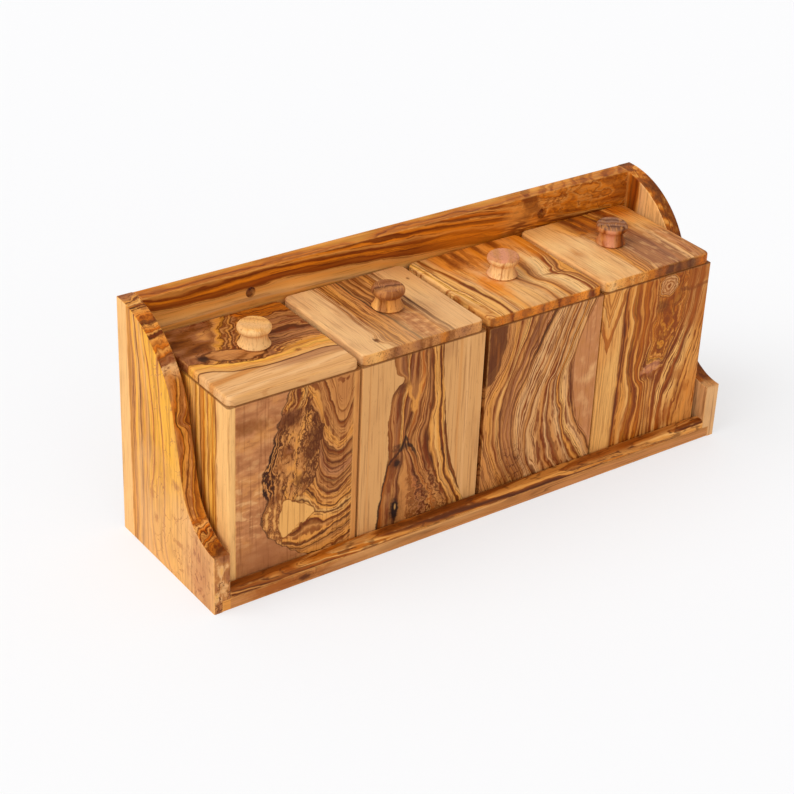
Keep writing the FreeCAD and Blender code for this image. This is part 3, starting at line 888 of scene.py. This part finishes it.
def basin_of_rings(wood, colour, left, right):
    """The stripes with rings nested between two lines, a pale bar below them and clots at the right."""
    nest = (wood.across - left) * (right - wood.across) / (right - left)
    nest = wood.work("SMOOTH_MIN", nest, (wood.along - 68) * 0.45, 3)
    nest = nest + wood.noise(8, stretch=1.4, detail=4.0, seed=106) * 3
    basin = wood.figure(nest, [
        (-2, sienna), (0.2, rust), (0.8, honey), (1.6, tan), (2.2, sienna), (2.9, honey), (3.6, bronze),
        (4.2, rust), (4.9, honey), (5.8, amber), (6.4, sienna), (7, bronze), (8, amber), (9.4, rust)],
        107, spacing=1.2, dark=0.9)[0]
    basin = basin.coat(sienna, wood.scribble(5, 0.07, 108, stretch=1.5) * 0.7)
    upper = wood.rise(wood.along + wood.noise(9, seed=110) * 8, 60, 68)
    within = wood.rise(wood.across - left, -0.5, 1.0) * wood.rise(right - wood.across, -0.5, 1.0) * upper
    colour = colour.coat(basin, within)
    bar = wood.along - 70 - (wood.across - 150) * 0.3 + wood.noise(9, seed=116) * 6
    pale = wood.rise(wood.contour(bar, 5), 0, 1)
    pale = pale * wood.rise(wood.across, 140, 144) * wood.rise(wood.across, 162, 157)
    colour = colour.coat(pink, pale * 0.5)
    clots = wood.rise(wood.noise(4, stretch=1.6, detail=4.0, seed=111), 0.02, 0.18)
    return colour.coat(sienna, clots * wood.spot((103, 168), (18, 10), turn=-30, soft=0.6) * 0.9)


def oval_knot(wood, colour):
    """The stripes with a ringed oval knot near the top, and a dark pit under it."""
    knot = wood.reach((134, 161), (9, 9.5)) + wood.noise(5, detail=3.0, seed=112) * 0.35
    eye = wood.stripes(knot, [
        (0, umber), (0.12, brown), (0.25, wheat), (0.4, brown), (0.5, wheat), (0.62, brown),
        (0.72, wheat), (0.82, umber), (0.9, honey), (1.0, umber), (1.1, rust)])
    colour = colour.coat(eye, wood.rise(knot, 1.1, 0.95))
    return wood.blots(colour, (ink, 0.7, (119, 157), (4, 5), 0.7, 1.0, 113))


def brown_vee(wood, colour):
    """The stripes with a V of brown chevrons in the upper left corner."""
    vee = (wood.along - 95) * 0.33 - abs(wood.across - 107.5)
    vee = vee + wood.noise(8, detail=3.0, seed=114) * 2
    corner = wood.rise(wood.across, 122.5, 119.5)
    chevrons = wood.stripes(vee, [
        (-1, straw), (-0.4, sienna), (0.4, rust), (2.4, rust), (3, honey), (6, straw), (6.6, rust),
        (7.4, honey), (9, rust), (9.8, honey), (12, rust), (13, honey)])
    return colour.coat(chevrons, wood.rise(vee, -0.9, -0.3) * corner * 0.85)


def canister_4_front_wood(wood):
    """A pale strip with a V of brown, then stripes that part round an oval knot and close below it."""
    nest_left = [
        (8, 147), (30, 148), (52, 148), (60, 147), (68, 142), (80, 144), (90, 146), (105, 147),
        (120, 149), (142, 148)]
    nest_right = [
        (8, 158.5), (25, 158), (40, 157), (55, 158), (68, 163), (82, 170), (95, 176), (110, 181),
        (125, 183), (142, 185)]
    flow = wood.between([
        (100, [(8, 100), (142, 100.5)]),
        (121, [(8, 118.5), (40, 119), (55, 120), (70, 121), (100, 122), (115, 121), (130, 121),
               (142, 124)]),
        (135, [(8, 136), (30, 138), (50, 141), (60, 138), (70, 134), (80, 133), (95, 135), (110, 137),
               (125, 134), (142, 135)]),
        (147, nest_left),
        (176, nest_right),
        (186, [(8, 163), (20, 163), (35, 164), (50, 168), (65, 173), (80, 179), (100, 186), (115, 190),
               (142, 194)]),
        (192, [(8, 172), (30, 174), (50, 178), (70, 184), (85, 188), (100, 192), (120, 197), (142, 201)]),
        (215, [(8, 205), (142, 222)]),
    ])
    flow = flow + wood.noise(10, stretch=2.5, detail=3.0, seed=101) * wood.rise(wood.across, 119, 123) * 3
    colour, lines = wood.figure(flow, [
        (100, honey), (110, straw), (118, straw), (120.2, honey), (121.2, sienna), (122.6, rust),
        (124, honey), (126, honey), (128.6, straw), (130, rust), (131.4, bronze), (133.4, rust),
        (135, sienna), (136.6, honey), (138, honey), (139, rust), (140.4, amber), (142.4, rust),
        (143.4, sienna), (144.6, honey), (146.4, rust), (147.4, sienna), (149, honey), (152, tan),
        (154, brown), (157, honey), (162, tan), (165, brown), (168, honey), (172, fawn), (174, sienna),
        (178, rust), (179.6, straw), (183, straw), (185.4, rust), (187, sienna), (188.4, straw),
        (191, straw), (194, honey), (215, tan)], 102, spacing=2.0, dark=0.9, streaks=0.6)
    sap = wood.rise(wood.across + wood.noise(20, stretch=4.0, seed=105) * 3, 121, 118)
    colour = colour.coat(straw, sap * 0.6)
    left = wood.line(nest_left)
    right = wood.line(nest_right)
    colour = basin_of_rings(wood, colour, left, right)
    colour = oval_knot(wood, colour)
    colour = brown_vee(wood, colour)
    shelf = wood.contour(wood.along - 127 + wood.noise(9, seed=115) * 3, 2.0)
    shelf = shelf * wood.rise(wood.across, 168, 178)
    colour = colour.coat(umber, shelf * 0.7)
    colour = wood.scatter(colour, rust, 0.6, 0.7, 0.9, [
        ((58, 179), (6, 5)), ((45, 188), (4, 4)), ((24, 173), (8, 7)), ((136, 190), (7, 10))])
    warm = wood.rise(wood.noise(26, stretch=1.6, detail=2.0, seed=117), -0.1, 0.4)
    colour = colour.coat(orange, warm * 0.25)
    high = wood.rise(wood.along + wood.noise(14, seed=118) * 10, 78, 104)
    colour = colour.coat(rust, high * wood.rise(wood.across, 172, 184) * 0.4)
    return colour.coat(rust, high * wood.rise(wood.across, 124, 140) * 0.2), lines


def canister_1_wall_wood(wood, strip_tone):
    """Yellow stripes that end at a broad plain strip along the front, in a tone of its own."""
    flow = wood.across + wood.noise(16, stretch=5.0, detail=3.0, seed=121) * 2.5
    colour, lines = wood.figure(flow, [
        (-52, strip_tone), (-38, strip_tone), (-37, straw), (-36, rust), (-35, gold), (-32, amber),
        (-31, gold), (-28.5, gold), (-27.5, rust), (-26.5, straw), (-24, gold), (-22, amber),
        (-19, honey), (-17, brown), (-16, straw), (-13, gold), (-11.5, rust), (-10.5, straw), (0, gold),
        (8, amber), (9, straw), (22, gold), (24, rust), (25, gold), (48, straw)], 122, dark=0.5)
    colour = colour.coat(strip_tone, wood.rise(wood.across, -37, -39) * 0.7)
    return colour, lines


def lid_1_front(wood, past_seam):
    """Plain tan wood that rises a little to the right, dusky under the seam."""
    rising = wood.across - wood.along * 0.12 + wood.noise(24, stretch=3.0, seed=132) * 6
    front = wood.stripes(wood.ripple(rising, 9, 133), [
        (-0.5, tan), (-0.25, flax), (0.1, wheat), (0.5, oat)])
    front = front.coat(fawn, wood.threads(rising, 4.5, 134) * 0.45)
    ledge = wood.rise(past_seam, -10, -5) * wood.rise(wood.along, -165, -135)
    return front.coat(mauve, ledge * 0.7)


def lid_1_burl(wood):
    """Burl in two halves, level on the right and slanting on the left, and its fine lines."""
    level = wood.across + (wood.along + 122) * 0.1
    level = level + wood.noise(14, stretch=1.6, detail=4.0, seed=135) * 11
    level = wood.around(level, (-122, 11), (10, 5))
    right_half, lines = wood.figure(level, [
        (-12, honey), (-9, tan), (-7, honey), (-6.4, brown), (-5.6, fawn), (-2, mauve), (-0.4, fawn),
        (0.4, umber), (1.2, fawn), (4, rose), (5, brown), (5.8, fawn), (9, mauve), (10.4, umber),
        (11.6, umber), (12.6, fawn), (16, mauve), (17, umber), (17.8, fawn), (22, mauve), (23, brown),
        (24, tan), (28, fawn), (29, sienna), (30, amber), (33, amber), (34, rust), (35, amber),
        (39, orange), (40, sienna), (41, amber), (45, amber), (47, rust)], 136, spacing=1.8, dark=0.85)
    slant = (wood.along + 150) * 0.86 - (wood.across - 25) * 0.5 + wood.noise(9, detail=4.0, seed=137) * 6
    left_half = wood.figure(slant, [
        (-22, mauve), (-16, brown), (-12.4, tan), (-11, honey), (-8.6, bronze), (-7, umber), (-5.6, tan),
        (-3.6, brown), (-2.6, honey), (-1, umber), (0.4, fawn), (2.4, brown), (3.4, honey), (5, umber),
        (6.4, fawn), (8, tan), (9, umber), (10.4, honey), (12, brown), (13.4, fawn), (16, umber),
        (18, fawn), (24, mauve)], 138, spacing=2.2, dark=0.85, run=wood.across)[0]
    burl = right_half.coat(left_half, wood.rise(wood.along + wood.noise(12, seed=139) * 10, -136, -144))
    corner = wood.stripes(wood.noise(10, stretch=2.2, detail=4.0, seed=140), [
        (-0.4, umber), (-0.12, brown), (0.1, mauve), (0.35, tan)])
    corner = corner.coat(umber, wood.scribble(6, 0.06, 141, stretch=2.0) * 0.7)
    burl = burl.coat(corner, wood.spot((-188, 28), (20, 24), soft=0.3, ragged=0.6, seed=142))
    tongue = wood.reach((-166, -3.5), (21, 7.5), turn=-20) + wood.noise(7, detail=3.0, seed=143) * 0.4
    tongue_tone = wood.stripes(wood.noise(6, stretch=2.5, detail=3.0, seed=144), [
        (-0.3, tan), (0, fawn), (0.3, brown)])
    burl = burl.coat(tongue_tone, wood.rise(tongue, 1.05, 0.9))
    burl = burl.coat(umber, wood.contour(tongue - 1.0, 0.14) * 0.8)
    return wood.blots(burl, (ink, 0.85, (-186, 1), (3.5, 4.5), 0.5, 0.6, 145)), lines


def lid_1_wood(wood):
    """Burl at the back, a bright wavy band, and plain tan wood in front of a dark line."""
    seam = wood.line([
        (-199, -14), (-192, -15), (-185, -18), (-178, -22), (-165, -24), (-150, -26), (-135, -25.5),
        (-120, -24.5), (-110, -25), (-101, -29)])
    past_seam = wood.across - seam + wood.noise(9, stretch=2.5, detail=3.0, seed=131) * 1.8
    front = lid_1_front(wood, past_seam)
    burl, lines = lid_1_burl(wood)
    crest = wood.line([
        (-199, 0), (-190, -4), (-180, -9), (-165, -14.5), (-150, -16.5), (-140, -14.5), (-130, -11),
        (-101, -9)])
    past_crest = crest - wood.across + wood.noise(8, detail=3.0, seed=146) * 4
    band = wood.figure(past_seam + wood.noise(12, seed=147) * 3, [
        (-2, tan), (2, straw), (6, honey), (8, gold), (11, honey), (13, bronze), (20, honey)],
        148, spacing=2.8, dark=0.35, streaks=0.3)[0]
    band = wood.blots(band, (brown, 0.8, (-128, -18.5), (2.4, 1.6), 0.6, 0.8, 149))
    colour = burl.coat(band, wood.rise(past_crest, -0.7, 0.7))
    colour = colour.coat(umber, wood.contour(past_crest, 0.9) * wood.rise(wood.along, -125, -140) * 0.7)
    colour = front.coat(colour, wood.rise(past_seam, -0.4, 0.4))
    return colour.coat(umber, wood.contour(past_seam, 1.1) * 0.85), lines


def lid_2_wood(wood):
    """Two pale strips with a fine-striped heart between them, and a pin knot near the front."""
    flow = wood.between([
        (-110, [(-52, -110), (48, -109.5)]),
        (-76, [(-52, -72.5), (-44, -75), (-38, -79), (-33, -78), (-25, -76), (-10, -76.5), (10, -75),
               (48, -75.5)]),
        (-66, [(-52, -66), (-20, -66), (10, -67.5), (20, -67), (48, -67)]),
        (-55, [(-52, -52.5), (-30, -53), (-10, -55), (15, -56), (25, -57.5), (48, -55.5)]),
        (-28, [(-52, -27), (0, -28), (48, -27)]),
        (10, [(-52, 10), (48, 10.5)]),
    ])
    flow = flow + wood.noise(14, stretch=4.0, detail=3.0, seed=151) * 2.5
    colour, lines = wood.figure(flow, [
        (-110, peach), (-88, wheat), (-79, wheat), (-76.6, tan), (-75.8, brown), (-75, wheat),
        (-72.8, tan), (-72.2, brown), (-71.4, honey), (-69.4, brown), (-68.4, honey), (-66.6, brown),
        (-65.6, honey), (-59.5, tan), (-57, fawn), (-55.6, ink), (-54.6, tan), (-51.5, brown), (-50, tan),
        (-46.5, brown), (-45, tan), (-41.8, brown), (-40, tan), (-36, honey), (-33, brown),
        (-31.6, wheat), (-28.6, umber), (-27.4, wheat), (-24, wheat), (-10, tan), (10, wheat)],
        152, spacing=1.4, dark=0.95, streaks=0.7)
    sap = wood.rise(flow, -76, -79) + wood.rise(flow, -27, -22)
    pale = wood.stripes(wood.noise(16, stretch=3.0, detail=3.0, seed=155), [
        (-0.4, wheat), (0.0, oat), (0.4, cream)])
    colour = colour.coat(pale, sap * 0.75)
    faded = wood.rise(wood.along + wood.noise(14, seed=154) * 12, 4, -34)
    colour = colour.coat(oat, faded * 0.35)
    colour = colour.coat(tan, wood.spot((44, -8), (34, 16), soft=0.9) * 0.6)
    wavy = wood.noise(6, stretch=0.8, detail=4.0, seed=156)
    patch = wood.spot((-32, -42), (19, 9), soft=0.5, ragged=0.5, seed=157)
    colour = colour.coat(wood.stripes(wavy, [(-0.3, mauve), (0.0, rose), (0.3, wheat)]), patch * 0.7)
    colour = wood.blots(
        colour,
        (umber, 0.85, (-36.5, -80), (2.4, 1.8), 0.6, 0.8, 158),
        (umber, 0.7, (26, -11), (1.6, 1.0), 0.5, 0.5, 159))
    colour = wood.front_edge(colour, [
        (-99, tan), (-89, straw), (-84, honey), (-80, fawn), (-75, brown), (-71, mauve), (-68, fawn),
        (-61, fawn), (-57, mauve), (-53, brown), (-50, fawn), (-47, brown), (-43, fawn), (-40, fawn),
        (-35, amber), (-31, brown), (-26, fawn), (-20, mauve), (-14, fawn), (-8, tan), (-2, tan)], 150)
    return colour, lines


def lid_3_wood(wood):
    """Orange-brown stripes with a bright left edge and a curl where they kink near the front."""
    flow = wood.between([
        (-3, [(-52, 1), (-20, -2), (48, -8)]),
        (13, [(-52, 12), (-35, 12.5), (-20, 12), (-5, 10), (10, 9), (30, 8), (48, 6)]),
        (20, [(-52, 21), (-35, 21.5), (-20, 20), (0, 18), (15, 16), (30, 13), (48, 10)]),
        (30, [(-52, 30), (-25, 32), (0, 29), (20, 26), (48, 24)]),
        (57, [(-52, 61), (-35, 61.5), (-20, 58), (0, 54), (20, 54), (48, 57)]),
        (70, [(-52, 70), (-38, 72), (-25, 70), (-14, 66), (-5, 68), (10, 70), (48, 72)]),
        (86, [(-52, 90), (-40, 91), (-30, 90), (-22, 87), (-16, 82), (-10, 86), (0, 89), (15, 92),
              (48, 91)]),
        (94, [(-52, 96), (-35, 97), (-22, 94), (-16, 90.5), (-8, 94), (10, 97), (48, 98)]),
        (106, [(-52, 108), (48, 107)]),
    ])
    flow = flow + wood.noise(14, stretch=3.0, detail=3.0, seed=161) * 2
    colour, lines = wood.figure(flow, [
        (-3, gold), (6, peach), (9, gold), (12, peach), (13, brown), (14, straw), (18, straw),
        (19.4, sienna), (20.6, brown), (21.6, straw), (25, wheat), (27, tan), (29, straw), (33, honey),
        (40, wheat), (46, straw), (52, wheat), (55, tan), (56.8, brown), (58.2, tan), (60, peach),
        (64, peach), (68, honey), (70, brown), (72, tan), (78, cream), (83, peach), (84.8, rust),
        (86, sienna), (87.2, straw), (89, brown), (90.2, tan), (93, brown), (94.4, honey), (106, bronze)],
        162, spacing=2.4, dark=0.5, streaks=0.2)
    plain = wood.spot((-34, 48), (20, 10), soft=0.7, ragged=0.5, seed=163)
    colour = colour.coat(peach, plain * 0.5)
    colour = colour.coat(tan, wood.spot((-42, 4), (14, 7), soft=0.7, ragged=0.7, seed=164) * 0.7)
    warm = wood.rise(wood.along + wood.noise(20, detail=3.0, seed=165) * 26, 0, 30)
    colour = colour.coat(tangerine, warm * wood.rise(wood.across, 10, 24) * 0.8)
    smoke = wood.noise(7, stretch=4.0, detail=3.0, seed=166, flow=flow)
    colour = colour.coat(rust, warm * wood.rise(smoke, 0.0, 0.2) * 0.65)
    colour = wood.scatter(colour, sienna, 0.8, 0.8, 0.8, [
        ((38, 30), (16, 2.5)), ((36, 39), (16, 2.5)), ((40, 58), (16, 2)), ((44, 72), (9, 4))])
    glow = wood.spot((-12, 34), (15, 7), soft=0.7, ragged=1.0, seed=167)
    colour = colour.coat(tangerine, glow * 0.7)
    kink = wood.contour(wood.along + 16.5 + wood.noise(9, seed=168) * 3, 1.2)
    kink = kink * wood.rise(wood.across, 66, 80) * wood.rise(wood.across, 96, 88)
    colour = colour.coat(brown, kink * 0.7)
    arcs = wood.threads(wood.along * 0.5 + wood.across * 0.6 + wood.noise(9, seed=169) * 3, 5, 170)
    colour = colour.coat(rust, arcs * wood.rise(wood.across, 13, 8) * 0.8)
    colour = wood.front_edge(colour, [
        (1, rust), (5, brown), (8, amber), (12, orange), (15, amber), (19, rust), (22, sienna),
        (24, amber), (28, orange), (31, rust), (34, rust), (37, tangerine), (41, tangerine), (44, orange),
        (47, sienna), (50, orange), (54, tangerine), (58, amber), (61, sienna), (65, orange), (68, rust),
        (72, orange), (76, orange), (80, tangerine), (84, tangerine), (88, sienna), (91, sienna),
        (94, tangerine), (98, tangerine)], 160)
    return colour, lines


def lid_4_wood(wood):
    """Pale left half, dark mottled wood behind the knob, and a grey-rose field in front of it."""
    lean = wood.line([(-51, 3), (-20, 0), (10, 1), (48, 4.5)])
    flow = wood.across + lean + wood.noise(16, stretch=3.0, detail=3.0, seed=171) * 4
    behind, lines = wood.figure(flow, [
        (100, honey), (110, peach), (126, wheat), (134.6, honey), (136, brown), (139, sienna),
        (145, brown), (147, amber), (149, rust), (150.6, brown), (154, rust), (158, amber), (160.6, rust),
        (161.6, umber), (163, bronze), (167, rust), (169, honey), (171, brown), (176, sienna),
        (180, rust), (182, honey), (186, orange), (196, amber), (206, tan)], 172)
    mottle = wood.noise(7, stretch=1.4, detail=4.0, seed=173)
    dusk = wood.rise(flow, 134, 138) * wood.rise(flow, 184, 178)
    behind = behind.coat(umber, wood.rise(mottle, 0.0, 0.3) * dusk * 0.7)
    behind = behind.coat(amber, wood.rise(mottle, -0.05, -0.35) * dusk * 0.7)
    before = wood.figure(flow, [
        (100, honey), (110, peach), (128, peach), (136, wheat), (138, honey), (141, tan), (142.4, fawn),
        (145, tan), (149, fawn), (151, wheat), (153, mauve), (162, fawn), (170, mauve), (178, fawn),
        (182, wheat), (185, wheat), (187, fawn), (190, rose), (193, fawn), (206, tan)],
        175, spacing=2.6, dark=0.6)[0]
    grey = wood.spot((-26, 165), (28, 14), soft=0.6, ragged=0.6, seed=176)
    before = before.coat(ash, grey * 0.4)
    flecks = wood.rise(wood.noise(5, stretch=2.0, detail=4.0, seed=180), 0.0, 0.4)
    flecks = flecks * wood.rise(wood.across, 146, 154)
    before = before.coat(wheat, flecks * 0.5)
    turn = wood.rise(wood.along + wood.noise(12, detail=3.0, seed=178) * 16, 6, 20)
    colour = before.coat(behind, turn)
    sap = wood.rise(flow + wood.rise(wood.along, 8, 40) * 10, 137, 131)
    pale = wood.stripes(wood.noise(16, stretch=2.0, detail=3.0, seed=179), [
        (-0.4, tan), (-0.15, wheat), (0.25, cream)])
    colour = colour.coat(pale, sap * 0.8)
    colour = colour.coat(honey, wood.rise(wood.along, 8, 40) * wood.rise(flow, 142, 136) * 0.6)
    colour = colour.coat(straw, wood.spot((16, 190), (13, 12), soft=0.7, ragged=0.6, seed=177) * 0.6)
    colour = wood.front_edge(colour, [
        (100, honey), (108, peach), (114, honey), (118, honey), (122, amber), (126, honey), (131, amber),
        (136, honey), (140, amber), (144, amber), (147, rust), (151, brown), (155, rust), (158, umber),
        (163, umber), (166, brown), (170, umber), (174, brown), (178, umber), (182, umber), (185, brown),
        (188, rust), (191, orange), (193, rust), (196, orange), (200, rust)], 174)
    return colour, lines


def knob_wood(wood, node, seed, split, cap_look, body_look_and_shade):
    """Turned wood with upright grain: one look on the cap, above a share of the height, and one below
    that holds painted highlight and painted shade.
    """
    low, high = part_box(node)
    middle = (low + high) * (MM_PER_METRE / 2)
    wander = wood.noise(8, stretch=2.0, detail=3.0, seed=seed) * 3
    looks = []
    # Each look's stops run across the knob along its turn; the bodies' turn is the camera's left to
    # right, so their tones carry painted highlight and painted shade
    for turn, stops in (cap_look, body_look_and_shade):
        side = (wood.across - middle.x) * math.cos(turn) + (wood.deep - middle.y) * math.sin(turn)
        looks.append(wood.stripes(side + wander, stops))
    cap, body = looks
    foot = high.z * MM_PER_METRE - knob_height
    level = (wood.along - foot) / knob_height + wood.noise(5, seed=seed + 1) * 0.1
    colour = body.coat(cap, wood.rise(level, split - 0.05, split + 0.05))
    # The fine lines keep to the body's grain, the last side that was drawn
    lines = wood.threads(side + wander, 2.6, seed)
    return colour.coat(tan, lines * 0.5), lines


def dress(node, along, across, seed, draw, *looks):
    """Draws a CAD node's wood, with its grain along one axis and across another, and finishes it."""
    wood = Wood(node + "_wood", along, across)
    colour, lines = draw(wood, *looks)
    nodes[node].material_slots[0].material = wood.finish(colour, node, lines, seed)


# Each knob: the share of its height where the cap starts, then the turn and tones of the cap and the body
# On the bodies, pale middles are partly a painted highlight and darker sides partly painted shade, over
# the wood's own tones
knob_looks = {
    "lid_1_knob": (
        0.93,
        (0.9, [(-12, straw), (-3, wheat), (2, straw), (5, tan), (7, straw), (12, tan)]),
        (-0.64, [(-12, peach), (-3, cream), (3, cream), (12, peach)])),
    "lid_2_knob": (
        0.55,
        (1.4, [(-12, brown), (-7, mauve), (-4, fawn), (-1, umber), (1, mauve), (5, brown), (12, mauve)]),
        (-0.64, [(-12, honey), (-7, straw), (-5, brown), (-1, brown), (1, honey), (6, tan), (12, fawn)])),
    "lid_3_knob": (
        0.88,
        (-0.64, [(-12, pink), (-4, rose), (-2, pink), (2, pink), (4, rose), (12, pink)]),
        (-0.64, [(-12, pink), (-7, cream), (-1, cream), (0, fawn), (1, cream), (6, peach), (9, rose),
                 (12, fawn)])),
    "lid_4_knob": (
        0.88,
        (0.93, [(-12, ash), (-6, umber), (-4, ash), (-1, brown), (1, ash), (4, umber), (6, ash),
                (12, brown)]),
        (-0.64, [(-12, rust), (-8, rose), (-6, rust), (-3, pink), (1, pink), (3, rose), (5, rust),
                 (7, umber), (9, rust), (12, umber)])),
}

# Each figured board: the axes its grain runs along and across, its seed, its wood and any tone of its own
figured = {
    "left_end_board": ("z", "y", 1, left_end_wood),
    "right_end_board": ("z", "y", 11, right_end_wood),
    "back_board": ("x", "z", 21, back_wood),
    "base_board": ("x", "z", 31, base_wood),
    "front_rail": ("x", "z", 41, rail_wood),
    "canister_1_front_panel": ("z", "x", 51, canister_1_front_wood),
    "canister_2_front_panel": ("z", "x", 71, canister_2_front_wood),
    "canister_3_front_panel": ("z", "x", 91, canister_3_front_wood),
    "canister_4_front_panel": ("z", "x", 101, canister_4_front_wood),
    "canister_1_left_wall": ("z", "y", 121, canister_1_wall_wood, peach),
    "canister_1_right_wall": ("z", "y", 121, canister_1_wall_wood, tan),
    "lid_1_board": ("x", "y", 131, lid_1_wood),
    "lid_2_board": ("y", "x", 151, lid_2_wood),
    "lid_3_board": ("y", "x", 161, lid_3_wood),
    "lid_4_board": ("y", "x", 171, lid_4_wood),
}
for number, name in enumerate(sorted(nodes)):
    if name in figured:
        dress(name, *figured[name])
    elif name in knob_looks:
        dress(name, "z", "x", number, knob_wood, name, number, *knob_looks[name])
    elif "wall" in name:
        dress(name, "z", "y", number, plain_wood, number)
    elif "panel" in name:
        dress(name, "z", "x", number, plain_wood, number)
    else:
        dress(name, "x", "y", number, plain_wood, number)


def floor():
    """A plain pale floor, whitened to the camera, that keeps a soft shadow."""
    bpy.ops.object.select_all(action="DESELECT")
    bpy.ops.mesh.primitive_plane_add(size=floor_reach)
    plane = bpy.context.object
    plane.name = "floor"
    material = bpy.data.materials.new("pale_floor")
    material.use_nodes = True
    tree = material.node_tree
    matt = tree.nodes["Principled BSDF"]
    matt.inputs["Base Color"].default_value = floor_tone
    matt.inputs["Roughness"].default_value = floor_roughness
    glow = tree.nodes.new("ShaderNodeEmission")
    glow.inputs["Color"].default_value = white
    path = tree.nodes.new("ShaderNodeLightPath")
    seen = tree.nodes.new("ShaderNodeMath")
    seen.operation = "MAXIMUM"
    tree.links.new(path.outputs["Is Camera Ray"], seen.inputs[0])
    tree.links.new(path.outputs["Is Glossy Ray"], seen.inputs[1])
    share = tree.nodes.new("ShaderNodeMath")
    share.operation = "MULTIPLY"
    share.inputs[1].default_value = floor_glow
    tree.links.new(seen.outputs[0], share.inputs[0])
    mix = tree.nodes.new("ShaderNodeMixShader")
    tree.links.new(share.outputs[0], mix.inputs[0])
    tree.links.new(matt.outputs[0], mix.inputs[1])
    tree.links.new(glow.outputs[0], mix.inputs[2])
    tree.links.new(mix.outputs[0], tree.nodes["Material Output"].inputs["Surface"])
    plane.data.materials.append(material)


def sun(name, level, direction, softness):
    """A soft sun that shines in a direction."""
    data = bpy.data.lights.new(name, "SUN")
    data.energy = level
    data.angle = softness
    lamp = bpy.data.objects.new(name, data)
    lamp.rotation_mode = "QUATERNION"
    lamp.rotation_quaternion = direction.to_track_quat("-Z", "Y")
    bpy.context.scene.collection.objects.link(lamp)


def sky():
    """Even white light from all round, and white behind everything."""
    world = bpy.data.worlds.new("studio")
    world.use_nodes = True
    tree = world.node_tree
    light = tree.nodes["Background"]
    light.inputs["Strength"].default_value = sky_level
    light.inputs["Color"].default_value = white
    backdrop = tree.nodes.new("ShaderNodeBackground")
    backdrop.inputs["Color"].default_value = white
    path = tree.nodes.new("ShaderNodeLightPath")
    mix = tree.nodes.new("ShaderNodeMixShader")
    tree.links.new(path.outputs["Is Camera Ray"], mix.inputs[0])
    tree.links.new(light.outputs[0], mix.inputs[1])
    tree.links.new(backdrop.outputs[0], mix.inputs[2])
    tree.links.new(mix.outputs[0], tree.nodes["World Output"].inputs["Surface"])
    bpy.context.scene.world = world


def camera():
    """The photograph's view of the box."""
    data = bpy.data.cameras.new("photo_view")
    data.lens = camera_lens
    data.sensor_width = sensor_width
    eye = bpy.data.objects.new("photo_view", data)
    eye.location = camera_place
    eye.rotation_mode = "QUATERNION"
    aim = (camera_aim - camera_place).to_track_quat("-Z", "Y")
    eye.rotation_quaternion = aim @ Quaternion((0, 0, 1), camera_roll)
    bpy.context.scene.collection.objects.link(eye)
    bpy.context.scene.camera = eye


floor()
sky()
sun("key", key_level, key_direction, key_softness)
sun("fill", fill_level, fill_direction, fill_softness)
camera()
bpy.context.scene.view_settings.view_transform = "Standard"
